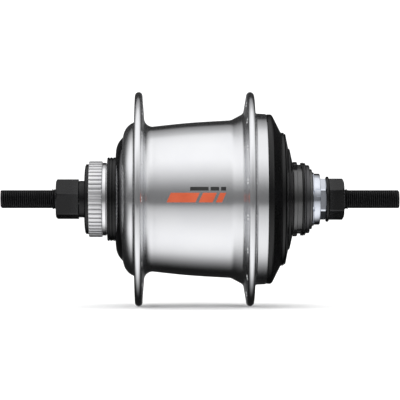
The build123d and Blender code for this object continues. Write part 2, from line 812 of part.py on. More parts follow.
with BuildPart() as driver:
    revolve(
        turned(
            (6.5, DRIVER_BORE_R),
            (6.5, DRIVER_SPLINE[0]),
            (29.0, DRIVER_SPLINE[0]),
            (30.0, 18.4),
            (32.5, 18.4),
            (36.3, 19.3),
            (37.0, 22.6),
            (38.7, 22.6),
            (38.7, NECK_R),
            (SEAT_X[0], NECK_R),
            (SEAT_X[0], SEAT_R),
            (SEAT_X[1], SEAT_R),
            (45.4, LAND_R),
            (SNAP_RING_X[0], LAND_R),
            (SNAP_RING_X[0], SNAP_RING_R[0]),
            (SNAP_RING_X[1], SNAP_RING_R[0]),
            (SNAP_RING_X[1], 16.9),
            (48.9, LAND_R),
            (49.25, 16.75),
            (49.6, 16.0),
            (50.8, 16.0),
            (51.2, 15.7),
            (51.2, 12.45),
            (46.6, 12.45),
            (44.9, 11.2),
            (44.0, 11.2),
            (43.4, DRIVER_BORE_R),
        ),
        axis=Axis.X,
    )
    cut_race(RIGHT_BEARING)
    cut_race(DRIVER_BEARING, 0.06)
    add(driver_gaps.part, mode=Mode.SUBTRACT)
    for angle in LUG_ANGLES:
        slot = sector(
            SEAT_X[0], NECK_R + 0.4, 18.5, angle - LUG_HALF_ANGLE, angle + LUG_HALF_ANGLE
        )
        extrude(slot, amount=SNAP_RING_X[0] - SEAT_X[0], mode=Mode.SUBTRACT)
    for angle in VALLEY_ANGLES:
        valley = sector(
            VALLEY_X[0], VALLEY_FLOOR_R, 18.5, angle - VALLEY_HALF_ANGLE, angle + VALLEY_HALF_ANGLE
        )
        extrude(valley, amount=VALLEY_X[1] - VALLEY_X[0], mode=Mode.SUBTRACT)
save(driver.part, "driver")

with BuildPart() as sprocket_snap_ring:
    revolve(tube(*SNAP_RING_X, *SNAP_RING_R), axis=Axis.X)
    gap = sector(SNAP_RING_X[0], SNAP_RING_R[0] - 1, SNAP_RING_R[1] + 1, *SNAP_RING_GAP)
    extrude(gap, amount=SNAP_RING_X[1] - SNAP_RING_X[0], mode=Mode.SUBTRACT)
save(sprocket_snap_ring.part, "sprocket_snap_ring")

with BuildPart() as driver_dust_cap:
    revolve(
        turned(
            (38.7, NECK_R),
            (38.7, 26.8),
            (36.8, 26.8),
            (36.8, 28.2),
            (39.5, 28.5),
            (39.5, 30.6),
            (39.9, 30.7),
            (41.2, 24.2),
            (41.3, 23.7),
            (41.8, 23.7),
            (42.0, 23.2),
            (43.2, 17.8),
            (43.2, NECK_R),
        ),
        axis=Axis.X,
    )
save(driver_dust_cap.part, "driver_dust_cap")

with BuildPart() as driver_end_cap:
    revolve(
        turned(
            (49.7, 11.2),
            (49.7, 12.45),
            (51.2, 12.45),
            (51.2, 14.1),
            (52.1, 14.1),
            (52.4, 13.8),
            (52.4, 8.7),
            (51.4, 8.7),
            (51.4, 11.2),
        ),
        axis=Axis.X,
    )
save(driver_end_cap.part, "driver_end_cap")

with BuildPart() as clutch_ring:
    width = CLUTCH_RING_X[1] - CLUTCH_RING_X[0]
    extrude(spline_section(CLUTCH_RING_X[0], *CLUTCH_DOGS, CLUTCH_TEETH, 0.46, 15), amount=width)
    bore = spline_section(
        CLUTCH_RING_X[0],
        DRIVER_SPLINE[0] + 2.5 * SPLINE_PLAY,
        DRIVER_SPLINE[1] + SPLINE_PLAY,
        CLUTCH_TEETH,
        0.54,
    )
    extrude(bore, amount=width, mode=Mode.SUBTRACT)
save(clutch_ring.part, "clutch_ring")

# --- planet carrier -----------------------------------------------------------------
pin_places = [polar(PLANET_ORBIT_R, angle) for angle in PLANET_ANGLES]
post_places = [polar(PLANET_ORBIT_R, angle) for angle in POST_ANGLES]

with BuildPart() as planet_carrier:
    revolve(tube(*CARRIER_PLATE_X, SLEEVE_OUT_R + 0.2, CARRIER_R), axis=Axis.X)
    revolve(tube(CARRIER_PLATE_X[1], CARRIER_HUB_END_X, 16.5, CARRIER_HUB_R), axis=Axis.X)
    dogs = spline_section(CARRIER_PLATE_X[1], *CARRIER_DOGS, CLUTCH_TEETH, 0.54, 15)
    extrude(dogs, amount=CARRIER_HUB_END_X - CARRIER_PLATE_X[1], mode=Mode.SUBTRACT)
    with BuildSketch(Plane.YZ.offset(END_PLATE_X[1])):
        with Locations(*post_places):
            Circle(POST_R)
    extrude(amount=CARRIER_PLATE_X[0] - END_PLATE_X[1])
    with BuildSketch(Plane.YZ.offset(CARRIER_PLATE_X[0])):
        with Locations(*pin_places):
            Circle(PIN_R)
    extrude(amount=CARRIER_PLATE_X[1] - CARRIER_PLATE_X[0], mode=Mode.SUBTRACT)
save(planet_carrier.part, "planet_carrier")

with BuildPart() as carrier_end_plate:
    revolve(tube(*END_PLATE_X, AXLE_CORE_R + RUN, CARRIER_R), axis=Axis.X)
    with BuildSketch(Plane.YZ.offset(END_PLATE_X[0])):
        with Locations(*pin_places):
            Circle(PIN_R)
    extrude(amount=END_PLATE_X[1] - END_PLATE_X[0], mode=Mode.SUBTRACT)
save(carrier_end_plate.part, "carrier_end_plate")

with BuildPart() as planet_pins:
    with BuildSketch(Plane.YZ.offset(END_PLATE_X[0])):
        with Locations(*pin_places):
            Circle(PIN_R)
    extrude(amount=CARRIER_PLATE_X[1] - END_PLATE_X[0])
save(planet_pins.part, "planet_pins")

with BuildPart() as clutch_cam:
    outline = []
    for k in range(ROLLERS):
        middle = 360 * k / ROLLERS
        outline.append(polar(23.0, middle - 11))
        outline.append(polar(21.7, middle - 7))
        outline.append(polar(21.8, middle + 5))
        outline.append(polar(22.6, middle + 20))
        outline.append(polar(23.0, middle + 27))
    extrude(cross_section(CLUTCH_SPAN[0], *outline), amount=CLUTCH_SPAN[1] - CLUTCH_SPAN[0])
    revolve(tube(CLUTCH_SPAN[1], END_PLATE_X[0], 8.0, 20.0), axis=Axis.X)
    revolve(tube(-34.0, -24.0, 0, AXLE_CORE_R + RUN), axis=Axis.X, mode=Mode.SUBTRACT)
save(clutch_cam.part, "clutch_cam")

roller_places = [polar(ROLLER_ORBIT_R, 360 * k / ROLLERS) for k in range(ROLLERS)]
with BuildPart() as clutch_rollers:
    with BuildSketch(Plane.YZ.offset(CLUTCH_SPAN[0] + 0.8)):
        with Locations(*roller_places):
            Circle(ROLLER_R)
    extrude(amount=CLUTCH_SPAN[1] - CLUTCH_SPAN[0] - 1.6)
save(clutch_rollers.part, "clutch_rollers")

with BuildPart() as roller_cage:
    revolve(tube(*CLUTCH_SPAN, 23.2, 25.7), axis=Axis.X)
    with BuildSketch(Plane.YZ.offset(CLUTCH_SPAN[0] + 0.7)):
        with Locations(*roller_places):
            Circle(ROLLER_R + 0.1)
    extrude(amount=CLUTCH_SPAN[1] - CLUTCH_SPAN[0] - 1.4, mode=Mode.SUBTRACT)
save(roller_cage.part, "roller_cage")

# --- planet gears -------------------------------------------------------------------
planet_angle = PLANET_ANGLES[0]
planet_centre = polar(PLANET_ORBIT_R, planet_angle)
with BuildPart() as planet_gear:
    for key, (start, end_x) in PLANET_SPAN.items():
        teeth = PLANET_TEETH[key]
        pitch_r = MODULE * teeth / 2
        step = gear_section(
            start,
            teeth,
            pitch_r + MODULE,
            pitch_r - ROOT_DEPTH,
            planet_angle + 180 + 180 / teeth,
            BACKLASH,
            planet_centre,
        )
        extrude(step, amount=end_x - start)
    with BuildSketch(Plane.YZ.offset(PLANET_SPAN["a"][0])):
        with Locations(planet_centre):
            Circle(PIN_R + RUN)
    extrude(amount=PLANET_SPAN["c"][1] - PLANET_SPAN["a"][0], mode=Mode.SUBTRACT)

for number, angle in enumerate(PLANET_ANGLES, start=1):
    save(planet_gear.part.rotate(Axis.X, angle - planet_angle), f"planet_gear_{number}")

# --- ring gear and its pawls --------------------------------------------------------
with BuildPart() as ring_gear:
    revolve(
        turned(
            (DRUM_START_X, RING_TIP_R - 0.5),
            (DRUM_START_X, DRUM_R),
            (8.6, DRUM_R),
            (8.6, DRUM_COLLAR_R),
            (15.0, DRUM_COLLAR_R),
            (15.4, DRUM_R),
            (WEB_X[1], DRUM_R),
            (WEB_X[1], WEB_HOLE_R),
            (WEB_X[0], WEB_HOLE_R),
            (WEB_X[0], 17.5),
            (15.2, 17.5),
            (15.2, 19.0),
            (WEB_X[0], 19.0),
            (WEB_X[0], DRUM_BORE_R),
            (RING_TEETH_END_X, DRUM_BORE_R),
            (RING_TEETH_END_X, RING_TIP_R - 0.5),
        ),
        axis=Axis.X,
    )
    ring_opening = gear_section(
        DRUM_START_X,
        RING_TEETH,
        MODULE * RING_TEETH / 2 + ROOT_DEPTH,
        RING_TIP_R,
        PLANET_ANGLES[0],
        -BACKLASH,
    )
    extrude(ring_opening, amount=RING_TEETH_END_X - DRUM_START_X, mode=Mode.SUBTRACT)
    for angle in PLANET_ANGLES:
        corners = [(-5.1, RING_POCKET_FLOOR), (5.9, RING_POCKET_FLOOR), (5.9, 30.0), (-5.1, 30.0)]
        pocket = cross_section(
            RING_PAWL_SPAN[0] - POCKET_END_GAP, *[across_axle(p, angle) for p in corners]
        )
        pocket_length = RING_PAWL_SPAN[1] - RING_PAWL_SPAN[0] + 2 * POCKET_END_GAP
        extrude(pocket, amount=pocket_length, mode=Mode.SUBTRACT)
save(ring_gear.part, "ring_gear")

for number, angle in enumerate(PLANET_ANGLES, start=1):
    shape = pawl_section(
        RING_PAWL_SPAN[0], RING_PAWL_PIVOT, RING_PAWL_TIP, RING_HEEL_R, RING_TIP_WIDTH, angle
    )
    with BuildPart() as ring_pawl:
        extrude(shape, amount=RING_PAWL_SPAN[1] - RING_PAWL_SPAN[0])
    save(ring_pawl.part, f"ring_pawl_{number}")

with BuildPart() as ring_pawl_springs:
    for angle in PLANET_ANGLES:
        corners = [(-4.2, 0.0), (4.2, 0.0), (4.2, 0.2), (-4.2, 0.2)]
        placed = [across_axle((u, v + RING_POCKET_FLOOR), angle) for u, v in corners]
        extrude(cross_section(RING_PAWL_SPAN[0] + 1.6, *placed), amount=1.6)
save(ring_pawl_springs.part, "ring_pawl_springs")


# --- ball bearings ------------------------------------------------------------------
def balls(bearing):
    """Loose balls of one bearing."""
    with BuildPart() as ball_set:
        with Locations(*ball_places(bearing)):
            Sphere(bearing[2])
    return ball_set.part


def cage(bearing, half_width):
    """Ring that keeps the balls of one bearing apart."""
    x, pitch_r, ball_r, _ = bearing
    with BuildPart() as ball_cage:
        revolve(tube(x - half_width, x + half_width, pitch_r - 0.5, pitch_r + 0.5), axis=Axis.X)
        with Locations(*ball_places(bearing)):
            Sphere(ball_r + 0.06, mode=Mode.SUBTRACT)
    return ball_cage.part


save(balls(LEFT_BEARING), "left_balls")
save(cage(LEFT_BEARING, 1.6), "left_ball_cage")
save(balls(RIGHT_BEARING), "right_balls")
save(cage(RIGHT_BEARING, 1.8), "right_ball_cage")
save(balls(DRIVER_BEARING), "driver_balls")
save(cage(DRIVER_BEARING, 1.3), "driver_ball_cage")
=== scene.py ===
import bpy
import json
from math import atan, atan2, cos, hypot, pi, radians, sin, tan
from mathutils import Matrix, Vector


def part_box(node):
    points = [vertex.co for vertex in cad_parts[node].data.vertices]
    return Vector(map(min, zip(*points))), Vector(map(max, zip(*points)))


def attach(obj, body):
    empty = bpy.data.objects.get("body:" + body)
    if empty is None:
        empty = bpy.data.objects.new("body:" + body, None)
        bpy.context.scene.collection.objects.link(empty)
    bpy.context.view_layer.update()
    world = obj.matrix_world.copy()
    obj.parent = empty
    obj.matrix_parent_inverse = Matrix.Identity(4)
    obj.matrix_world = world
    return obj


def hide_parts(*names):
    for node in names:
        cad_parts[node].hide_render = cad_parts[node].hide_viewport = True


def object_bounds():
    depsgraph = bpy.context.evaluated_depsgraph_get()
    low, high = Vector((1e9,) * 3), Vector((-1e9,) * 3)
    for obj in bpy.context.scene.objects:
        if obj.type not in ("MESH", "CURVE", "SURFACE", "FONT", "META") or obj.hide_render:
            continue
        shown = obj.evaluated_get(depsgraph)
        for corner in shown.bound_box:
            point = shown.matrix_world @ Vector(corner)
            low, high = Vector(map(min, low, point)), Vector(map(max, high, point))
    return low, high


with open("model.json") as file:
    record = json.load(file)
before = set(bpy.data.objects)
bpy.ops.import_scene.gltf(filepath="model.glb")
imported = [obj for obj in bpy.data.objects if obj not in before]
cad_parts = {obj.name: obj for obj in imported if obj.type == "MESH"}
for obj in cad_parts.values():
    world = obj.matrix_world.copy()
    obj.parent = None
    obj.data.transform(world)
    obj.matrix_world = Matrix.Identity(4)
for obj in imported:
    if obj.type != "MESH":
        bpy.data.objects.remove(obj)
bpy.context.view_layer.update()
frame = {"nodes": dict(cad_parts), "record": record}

# Lengths below are in millimetres and go through MM, because Blender works in metres.
# +X runs along the axle towards the drive side, and the axle is the line y = z = 0.
MM = 0.001
MICRON = 0.000001
# A length too small to see, for sharp steps and for comparing places.
HAIR = 0.01
SLOTS = {row["node"]: row["material_slot"] for row in frame["record"]["subparts"]}


def span(node):
    """Lowest and highest x of a CAD node, in millimetres."""
    low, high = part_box(node)
    return low.x / MM, high.x / MM


# --- outlines -----------------------------------------------------------------------
def arc(a, b, c, steps=10):
    """Points of the circular arc from a through b to c."""
    (ax, ay), (bx, by), (cx, cy) = a, b, c
    d = 2 * (ax * (by - cy) + bx * (cy - ay) + cx * (ay - by))
    sa, sb, sc = ax * ax + ay * ay, bx * bx + by * by, cx * cx + cy * cy
    ox = (sa * (by - cy) + sb * (cy - ay) + sc * (ay - by)) / d
    oy = (sa * (cx - bx) + sb * (ax - cx) + sc * (bx - ax)) / d
    radius = hypot(ax - ox, ay - oy)
    first = atan2(ay - oy, ax - ox)
    middle = (atan2(by - oy, bx - ox) - first) % (2 * pi)
    last = (atan2(cy - oy, cx - ox) - first) % (2 * pi)
    sweep = last if middle < last else last - 2 * pi
    turns = [first + sweep * k / steps for k in range(steps + 1)]
    return [(ox + radius * cos(t), oy + radius * sin(t)) for t in turns]


def catmull_rom(a, b, c, d, t):
    """Value at t, from 0 at b to 1 at c, on the smooth curve through a, b, c and d."""
    square = (2 * a - 5 * b + 4 * c - d) * t * t
    cube = (3 * b - 3 * c + d - a) * t**3
    return 0.5 * (2 * b + (c - a) * t + square + cube)


def curve(points, steps=8):
    """Smooth curve through the points."""
    out = []
    padded = [points[0], *points, points[-1]]
    for four in zip(padded, padded[1:], padded[2:], padded[3:]):
        for k in range(steps):
            out.append(tuple(catmull_rom(*values, k / steps) for values in zip(*four)))
    out.append(points[-1])
    return out


ROUNDED_TURN = radians(12)
ROUNDED_SHARE = 0.42


def softened(points, radius, steps=4):
    """Closed outline with a small round at each corner that turns by over ROUNDED_TURN.

    A round takes no more than ROUNDED_SHARE of the sides beside it.
    """
    out = []
    for i, corner in enumerate(points):
        before, after = points[i - 1], points[(i + 1) % len(points)]
        to_before = Vector(before) - Vector(corner)
        to_after = Vector(after) - Vector(corner)
        shorter = min(to_before.length, to_after.length)
        turn = pi - to_before.angle(to_after)
        if turn < ROUNDED_TURN:
            out.append(corner)
            continue
        cut = min(radius * tan(turn / 2), ROUNDED_SHARE * shorter)
        start = Vector(corner) + to_before.normalized() * cut
        end = Vector(corner) + to_after.normalized() * cut
        for k in range(steps + 1):
            t = k / steps
            p = start * (1 - t) ** 2 + Vector(corner) * 2 * t * (1 - t) + end * t * t
            out.append((p.x, p.y))
    return out


def even_angles(count):
    """Angles spaced evenly round the axle."""
    return [2 * pi * k / count for k in range(count)]


def turn_between(first, second):
    """Angle between two directions round the axle, from 0 to half a turn."""
    return abs((first - second + pi) % (2 * pi) - pi)


# --- materials ----------------------------------------------------------------------
class Nodes:
    """Adds nodes to a node tree and links them."""

    def __init__(self, tree):
        self.tree = tree

    def node(self, kind, **settings):
        made = self.tree.nodes.new(kind)
        for key, value in settings.items():
            setattr(made, key, value)
        return made

    def link(self, source, target):
        self.tree.links.new(source, target)

    def math(self, operation, *values):
        """Math node whose inputs are numbers or the outputs of other nodes."""
        made = self.node("ShaderNodeMath", operation=operation)
        for socket, value in zip(made.inputs, values):
            if isinstance(value, (int, float)):
                socket.default_value = value
            else:
                self.link(value, socket)
        return made.outputs[0]

    def xyz(self, vector):
        """The three parts of a vector."""
        parts = self.node("ShaderNodeSeparateXYZ")
        self.link(vector, parts.inputs[0])
        return parts.outputs

    def map_range(self, value, before, after, interpolation="LINEAR"):
        """The value, with the range before turned into the range after."""
        made = self.node("ShaderNodeMapRange", interpolation_type=interpolation)
        sockets = ("From Min", "From Max", "To Min", "To Max")
        for socket, number in zip(sockets, (*before, *after)):
            made.inputs[socket].default_value = number
        self.link(value, made.inputs["Value"])
        return made.outputs["Result"]


# Noise seldom leaves this range.
NOISE_MIDDLE = (0.3, 0.7)
# A little of the angle, so that turning marks aren't perfect circles.
ANGLE_SHARE = 0.0002


class Shader(Nodes):
    """A Principled material that is put together node by node."""

    def __init__(self, name, **values):
        self.material = bpy.data.materials.new(name)
        self.material.use_nodes = True
        super().__init__(self.material.node_tree)
        self.principled = self.tree.nodes["Principled BSDF"]
        for key, value in values.items():
            self.principled.inputs[key.replace("_", " ")].default_value = value

    def place(self):
        """Position in the object's frame, which turns with its body."""
        return self.node("ShaderNodeTexCoord").outputs["Object"]

    def lathe_place(self):
        """(x, distance from the axle, a little of the angle), for marks that run round it."""
        x, y, z = self.xyz(self.place())
        squares = self.math("ADD", self.math("MULTIPLY", y, y), self.math("MULTIPLY", z, z))
        distance = self.math("SQRT", squares)
        angle = self.math("ARCTAN2", z, y)
        joined = self.node("ShaderNodeCombineXYZ")
        self.link(x, joined.inputs[0])
        self.link(distance, joined.inputs[1])
        self.link(self.math("MULTIPLY", angle, ANGLE_SHARE), joined.inputs[2])
        return joined.outputs[0]

    def noise(self, vector, scale, detail=3.0, roughness=0.6):
        made = self.node("ShaderNodeTexNoise")
        made.inputs["Scale"].default_value = scale
        made.inputs["Detail"].default_value = detail
        made.inputs["Roughness"].default_value = roughness
        self.link(vector, made.inputs["Vector"])
        return made.outputs["Fac"]

    def spread(self, noise, low, high):
        """Noise stretched to run from low to high."""
        return self.map_range(noise, NOISE_MIDDLE, (low, high))

    def blend(self, factor, first, second):
        """Mix of two colours, each a tuple or another node's output."""
        made = self.node("ShaderNodeMix", data_type="RGBA")
        self.link(factor, made.inputs["Factor"])
        for socket, colour in (("A", first), ("B", second)):
            target = [s for s in made.inputs if s.name == socket and s.type == "RGBA"][0]
            if isinstance(colour, tuple):
                target.default_value = (*colour, 1.0)
            else:
                self.link(colour, target)
        return [s for s in made.outputs if s.type == "RGBA"][0]

    def colour(self, source):
        self.link(source, self.principled.inputs["Base Color"])

    def rough(self, source):
        self.link(source, self.principled.inputs["Roughness"])

    def bump(self, height, depth):
        made = self.node("ShaderNodeBump")
        made.inputs["Strength"].default_value = 1.0
        made.inputs["Distance"].default_value = depth
        self.link(height, made.inputs["Height"])
        self.link(made.outputs["Normal"], self.principled.inputs["Normal"])


MATERIALS = {}
METAL_CLOUDS = 60.0
PLASTIC_CLOUDS = 90.0
LINE_SHARE = 0.7
# Pointiness at which a worn edge begins to show, and where it is bare.
WORN_EDGE = (0.53, 0.62)


def turned_metal(name, dark, light, rough, line_scale, depth, metallic=1.0, stretch=0.85):
    """Metal with turning marks round the axle, which stretch highlights along it."""
    s = Shader(name, Metallic=metallic, Anisotropic=stretch, Anisotropic_Rotation=0.25)
    around = s.node("ShaderNodeTangent", direction_type="RADIAL", axis="X")
    s.link(around.outputs[0], s.principled.inputs["Tangent"])
    lines = s.noise(s.lathe_place(), line_scale, detail=4.0, roughness=0.7)
    clouds = s.noise(s.place(), METAL_CLOUDS, detail=2.0, roughness=0.5)
    s.colour(s.blend(s.spread(clouds, 0.0, 1.0), dark, light))
    line_part = s.math("MULTIPLY", lines, LINE_SHARE)
    cloud_part = s.math("MULTIPLY", clouds, 1 - LINE_SHARE)
    s.rough(s.spread(s.math("ADD", line_part, cloud_part), *rough))
    s.bump(lines, depth)
    MATERIALS[name] = s.material


def grained(name, dark, light, rough, grain_scale, depth, shine=0.5, worn=None):
    """Moulded plastic, blackened steel or ink: a fine grain and slow changes of tone."""
    s = Shader(name, Specular_IOR_Level=shine)
    grain = s.noise(s.place(), grain_scale)
    clouds = s.noise(s.place(), PLASTIC_CLOUDS, roughness=0.55)
    tone = s.blend(s.spread(clouds, 0.0, 1.0), dark, light)
    if worn:
        edges = s.node("ShaderNodeNewGeometry").outputs["Pointiness"]
        rubbed = s.map_range(edges, WORN_EDGE, (0.0, 1.0))
        patches = s.math("MULTIPLY", rubbed, s.spread(grain, 0.0, 0.8))
        tone = s.blend(patches, tone, worn)
    s.colour(tone)
    s.rough(s.spread(s.math("MULTIPLY", s.math("ADD", grain, clouds), 0.5), *rough))
    s.bump(grain, depth)
    MATERIALS[name] = s.material


BARE_EDGE = (0.10, 0.10, 0.105)

# Each line has the darker and the lighter tone, the range of roughness, the marks' or the
# grain's scale, and the depth of its bump in metres.
turned_metal(
    "shell_aluminium", (0.755, 0.76, 0.775), (0.785, 0.79, 0.80), (0.21, 0.27), 2600.0, 1.2 * MICRON
)
# Lighter copy of the aluminium for the plain band beside the rotor spline: its lighter colour is a
# painted highlight, and its lower roughness is a smoother finish.
turned_metal("band_painted_highlight", (0.86, 0.86, 0.865), (0.90, 0.90, 0.905), (0.20, 0.26), 3000.0, MICRON)
# Darker copy of the shell's aluminium for the dome's steep foot: the darkness is painted shade.
turned_metal(
    "dome_foot_painted_shade", (0.20, 0.20, 0.205), (0.25, 0.25, 0.26), (0.09, 0.13), 2600.0, 1.2 * MICRON
)
turned_metal(
    "spline_aluminium", (0.76, 0.76, 0.77), (0.84, 0.84, 0.845), (0.42, 0.52), 3000.0, 3 * MICRON,
    stretch=0.3
)
turned_metal("zinc_steel", (0.60, 0.64, 0.72), (0.74, 0.77, 0.83), (0.12, 0.24), 3500.0, 4 * MICRON)
turned_metal(
    "driver_steel", (0.10, 0.10, 0.102), (0.15, 0.15, 0.15), (0.24, 0.34), 2400.0, 4 * MICRON,
    metallic=0.9
)
# Darker copy of the driver steel for the driver's collar: the darkness is painted shade.
turned_metal(
    "driver_collar", (0.066, 0.066, 0.069), (0.096, 0.096, 0.099), (0.24, 0.34), 2400.0, 4 * MICRON,
    metallic=0.9
)
turned_metal("gear_steel", (0.42, 0.42, 0.43), (0.52, 0.52, 0.53), (0.22, 0.36), 3000.0, 5 * MICRON)
turned_metal("carrier_steel", (0.36, 0.36, 0.37), (0.46, 0.46, 0.47), (0.3, 0.45), 1800.0, 8 * MICRON)
turned_metal("bearing_steel", (0.66, 0.66, 0.67), (0.72, 0.72, 0.73), (0.06, 0.14), 4000.0, MICRON)
turned_metal("spring_steel", (0.30, 0.30, 0.31), (0.38, 0.38, 0.40), (0.25, 0.4), 2500.0, 5 * MICRON)
turned_metal("bronze", (0.50, 0.33, 0.16), (0.62, 0.43, 0.22), (0.3, 0.45), 2500.0, 6 * MICRON)
grained(
    "axle_steel", (0.0015, 0.0015, 0.0017), (0.0035, 0.0035, 0.0038), (0.26, 0.38), 2200.0, 8 * MICRON,
    shine=0.22, worn=BARE_EDGE
)
grained(
    "black_steel", (0.0015, 0.0015, 0.0017), (0.004, 0.004, 0.0043), (0.20, 0.32), 1800.0, 6 * MICRON,
    shine=0.30, worn=BARE_EDGE
)
grained(
    "black_plastic", (0.0012, 0.0012, 0.0013), (0.0022, 0.0022, 0.0024), (0.22, 0.32), 2600.0,
    4 * MICRON, shine=0.38
)
grained("cage_plastic", (0.62, 0.59, 0.50), (0.70, 0.68, 0.60), (0.4, 0.55), 1500.0, 10 * MICRON)
grained(
    "ink_black", (0.012, 0.012, 0.013), (0.022, 0.022, 0.022), (0.30, 0.42), 3000.0, 2 * MICRON
)
grained("ink_orange", (0.46, 0.07, 0.02), (0.54, 0.09, 0.03), (0.30, 0.42), 3000.0, 2 * MICRON)

for node, piece in frame["nodes"].items():
    piece.data.materials.clear()
    piece.data.materials.append(MATERIALS[SLOTS[node]])


# --- meshes -------------------------------------------------------------------------
SMOOTH_BELOW = radians(32)
LATHE_STEPS = 160
LARGE_LATHE_STEPS = 216


def new_object(name, verts, faces):
    """Object in the scene with a mesh whose vertices are given in millimetres."""
    mesh = bpy.data.meshes.new(name)
    mesh.from_pydata([[v * MM for v in p] for p in verts], [], faces)
    mesh.validate()
    mesh.update()
    made = bpy.data.objects.new(name, mesh)
    bpy.context.scene.collection.objects.link(made)
    return made


def smooth(mesh):
    """Smooth shading, with sharp edges where faces meet at a large angle."""
    mesh.polygons.foreach_set("use_smooth", [True] * len(mesh.polygons))
    mesh.set_sharp_from_angle(angle=SMOOTH_BELOW)


def finish_piece(name, verts, faces, body, node, material):
    """Piece that rides on a body and, where a node is given, stands for that CAD node."""
    piece = new_object(name, verts, faces)
    smooth(piece.data)
    piece.data.materials.append(material)
    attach(piece, body)
    if node:
        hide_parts(node)
    return piece


def lathe(name, outline, body, node, angles=None, shape=None, material=None):
    """Closed outline (x, radius) turned about the axle; shape(x, r, angle) gives each radius.

    Angle 0 points along +Y and a quarter turn along +Z. An outline whose first and last
    points lie on the axle's centre line isn't closed along it. The material is that of the
    CAD node's slot, unless another one is given.
    """
    angles = angles or even_angles(LATHE_STEPS)
    on_centre = outline[0][1] == 0 and outline[-1][1] == 0
    area = sum(a[0] * b[1] - b[0] * a[1] for a, b in zip(outline, outline[1:] + outline[:1]))
    if area > 0:
        outline = outline[::-1]
    verts = []
    for x, r in outline:
        for t in angles:
            radius = shape(x, r, t) if shape else r
            verts.append((x, radius * cos(t), radius * sin(t)))
    rings, count = len(outline), len(angles)
    faces = []
    for i in range(rings - 1 if on_centre else rings):
        for j in range(count):
            a = i * count + j
            b = i * count + (j + 1) % count
            c = ((i + 1) % rings) * count + (j + 1) % count
            d = ((i + 1) % rings) * count + j
            faces.append((a, b, c, d))
    if on_centre:
        verts, faces = close_on_centre(verts, faces, rings, count)
    return finish_piece(name, verts, faces, body, node, material or MATERIALS[SLOTS[node]])


def close_on_centre(verts, faces, rings, count):
    """Makes the first and the last ring, which lie on the centre line, one point each."""
    last_ring = (rings - 1) * count
    kept = []
    for face in faces:
        merged = [0 if v < count else last_ring if v >= last_ring else v for v in face]
        kept.append(tuple(dict.fromkeys(merged)))
    used = sorted({v for face in kept for v in face})
    place = {v: k for k, v in enumerate(used)}
    return [verts[v] for v in used], [tuple(place[v] for v in face) for face in kept]


def refinish(piece, material, between_x, between_r):
    """Another finish on the faces between two places along the axle and between two radii."""
    piece.data.materials.append(material)
    for polygon in piece.data.polygons:
        x, y, z = polygon.center / MM
        if between_x[0] < x < between_x[1] and between_r[0] < hypot(y, z) < between_r[1]:
            polygon.material_index = len(piece.data.materials) - 1


# --- axle ---------------------------------------------------------------------------
AXLE_R = 4.76
AXLE_END = span("axle")[1]
AXLE_CHAMFER = 0.7
THREAD_START = 66.5
THREAD_PITCH = 25.4 / 26
THREAD_DEPTH = 0.52
# Share of the pitch from the middle of the groove to the flat crest.
THREAD_FLANK = 0.44
THREAD_RINGS = 8
FLAT_START = 69.3
FLAT_HALF = 4.2


def thread_groove(x, t):
    """Depth of the V thread below the crests at a place on the axle, from 0 to 1."""
    turn = (x / THREAD_PITCH - t / (2 * pi)) % 1.0
    return max(0.0, 1.0 - abs(turn - 0.5) / THREAD_FLANK)


def axle_surface(x, r, t):
    """Thread and flats at both ends of the axle."""
    if r == 0:
        return 0.0
    inward = abs(x)
    radius = r
    if inward > THREAD_START:
        fade = min(1.0, (inward - THREAD_START) / THREAD_PITCH)
        radius = r - THREAD_DEPTH * fade * thread_groove(x, t)
    if inward > FLAT_START:
        steep = abs(sin(t))
        if steep * radius > FLAT_HALF:
            radius = FLAT_HALF / steep
    return radius


def axle_outline():
    """Outline of the axle, fine enough along the threads to show the V grooves."""
    step = THREAD_PITCH / THREAD_RINGS
    count = int((AXLE_END - AXLE_CHAMFER - THREAD_START) / step)
    thread = [THREAD_START + step * k for k in range(count + 1)]
    thread = sorted(thread + [FLAT_START - HAIR, FLAT_START + HAIR])
    half = [(0.0, AXLE_R), (40.0, AXLE_R), *[(x, AXLE_R) for x in thread]]
    half += [(AXLE_END - AXLE_CHAMFER, AXLE_R), (AXLE_END, AXLE_R - AXLE_CHAMFER)]
    half += [(AXLE_END, 2.0), (AXLE_END, 0.0)]
    return [(-x, r) for x, r in reversed(half[1:])] + half


lathe("axle_threaded", axle_outline(), "root", "axle", even_angles(96), axle_surface)


# --- nuts, washer and spacer --------------------------------------------------------
NUT_AF = 17.0
CORNER_R = NUT_AF / 2 / cos(pi / 6)
LEFT_NUT_CORNER = 167.0
RIGHT_NUT_CORNER = 153.6
NUT_BORE_R = AXLE_R + 0.02
NUT_BORE_CHAMFER = 0.6
# Radius gained for each millimetre along the axle, on the chamfer of the outer face and
# on the small round of the inner one.
NUT_CHAMFER_SLOPE = 1.9
NUT_INNER_SLOPE = 0.8
NUT_INNER_ROUND = 0.18
CHAMFER_RINGS = 8


def hexagon_radius(corner_degrees, blunt):
    """Radius of a hexagon's side at an angle; blunt takes the sharp corners off."""
    corner = radians(corner_degrees)

    def radius(t):
        offset = (t - corner) % (pi / 3) - pi / 6
        return min(NUT_AF / 2 / cos(offset), CORNER_R - blunt)

    return radius


def nut_angles(corner_degrees):
    """Even angles that include the six corners, closer beside each of them."""
    beside = (-0.09, -0.06, -0.035, -0.015, 0.0, 0.015, 0.035, 0.06, 0.09)
    out = []
    for k in range(6):
        corner = radians(corner_degrees) + k * pi / 3
        out += [corner + b for b in beside]
        out += [corner + pi / 6 + pi / 60 * j for j in range(-6, 7)]
    return sorted(t % (2 * pi) for t in out)


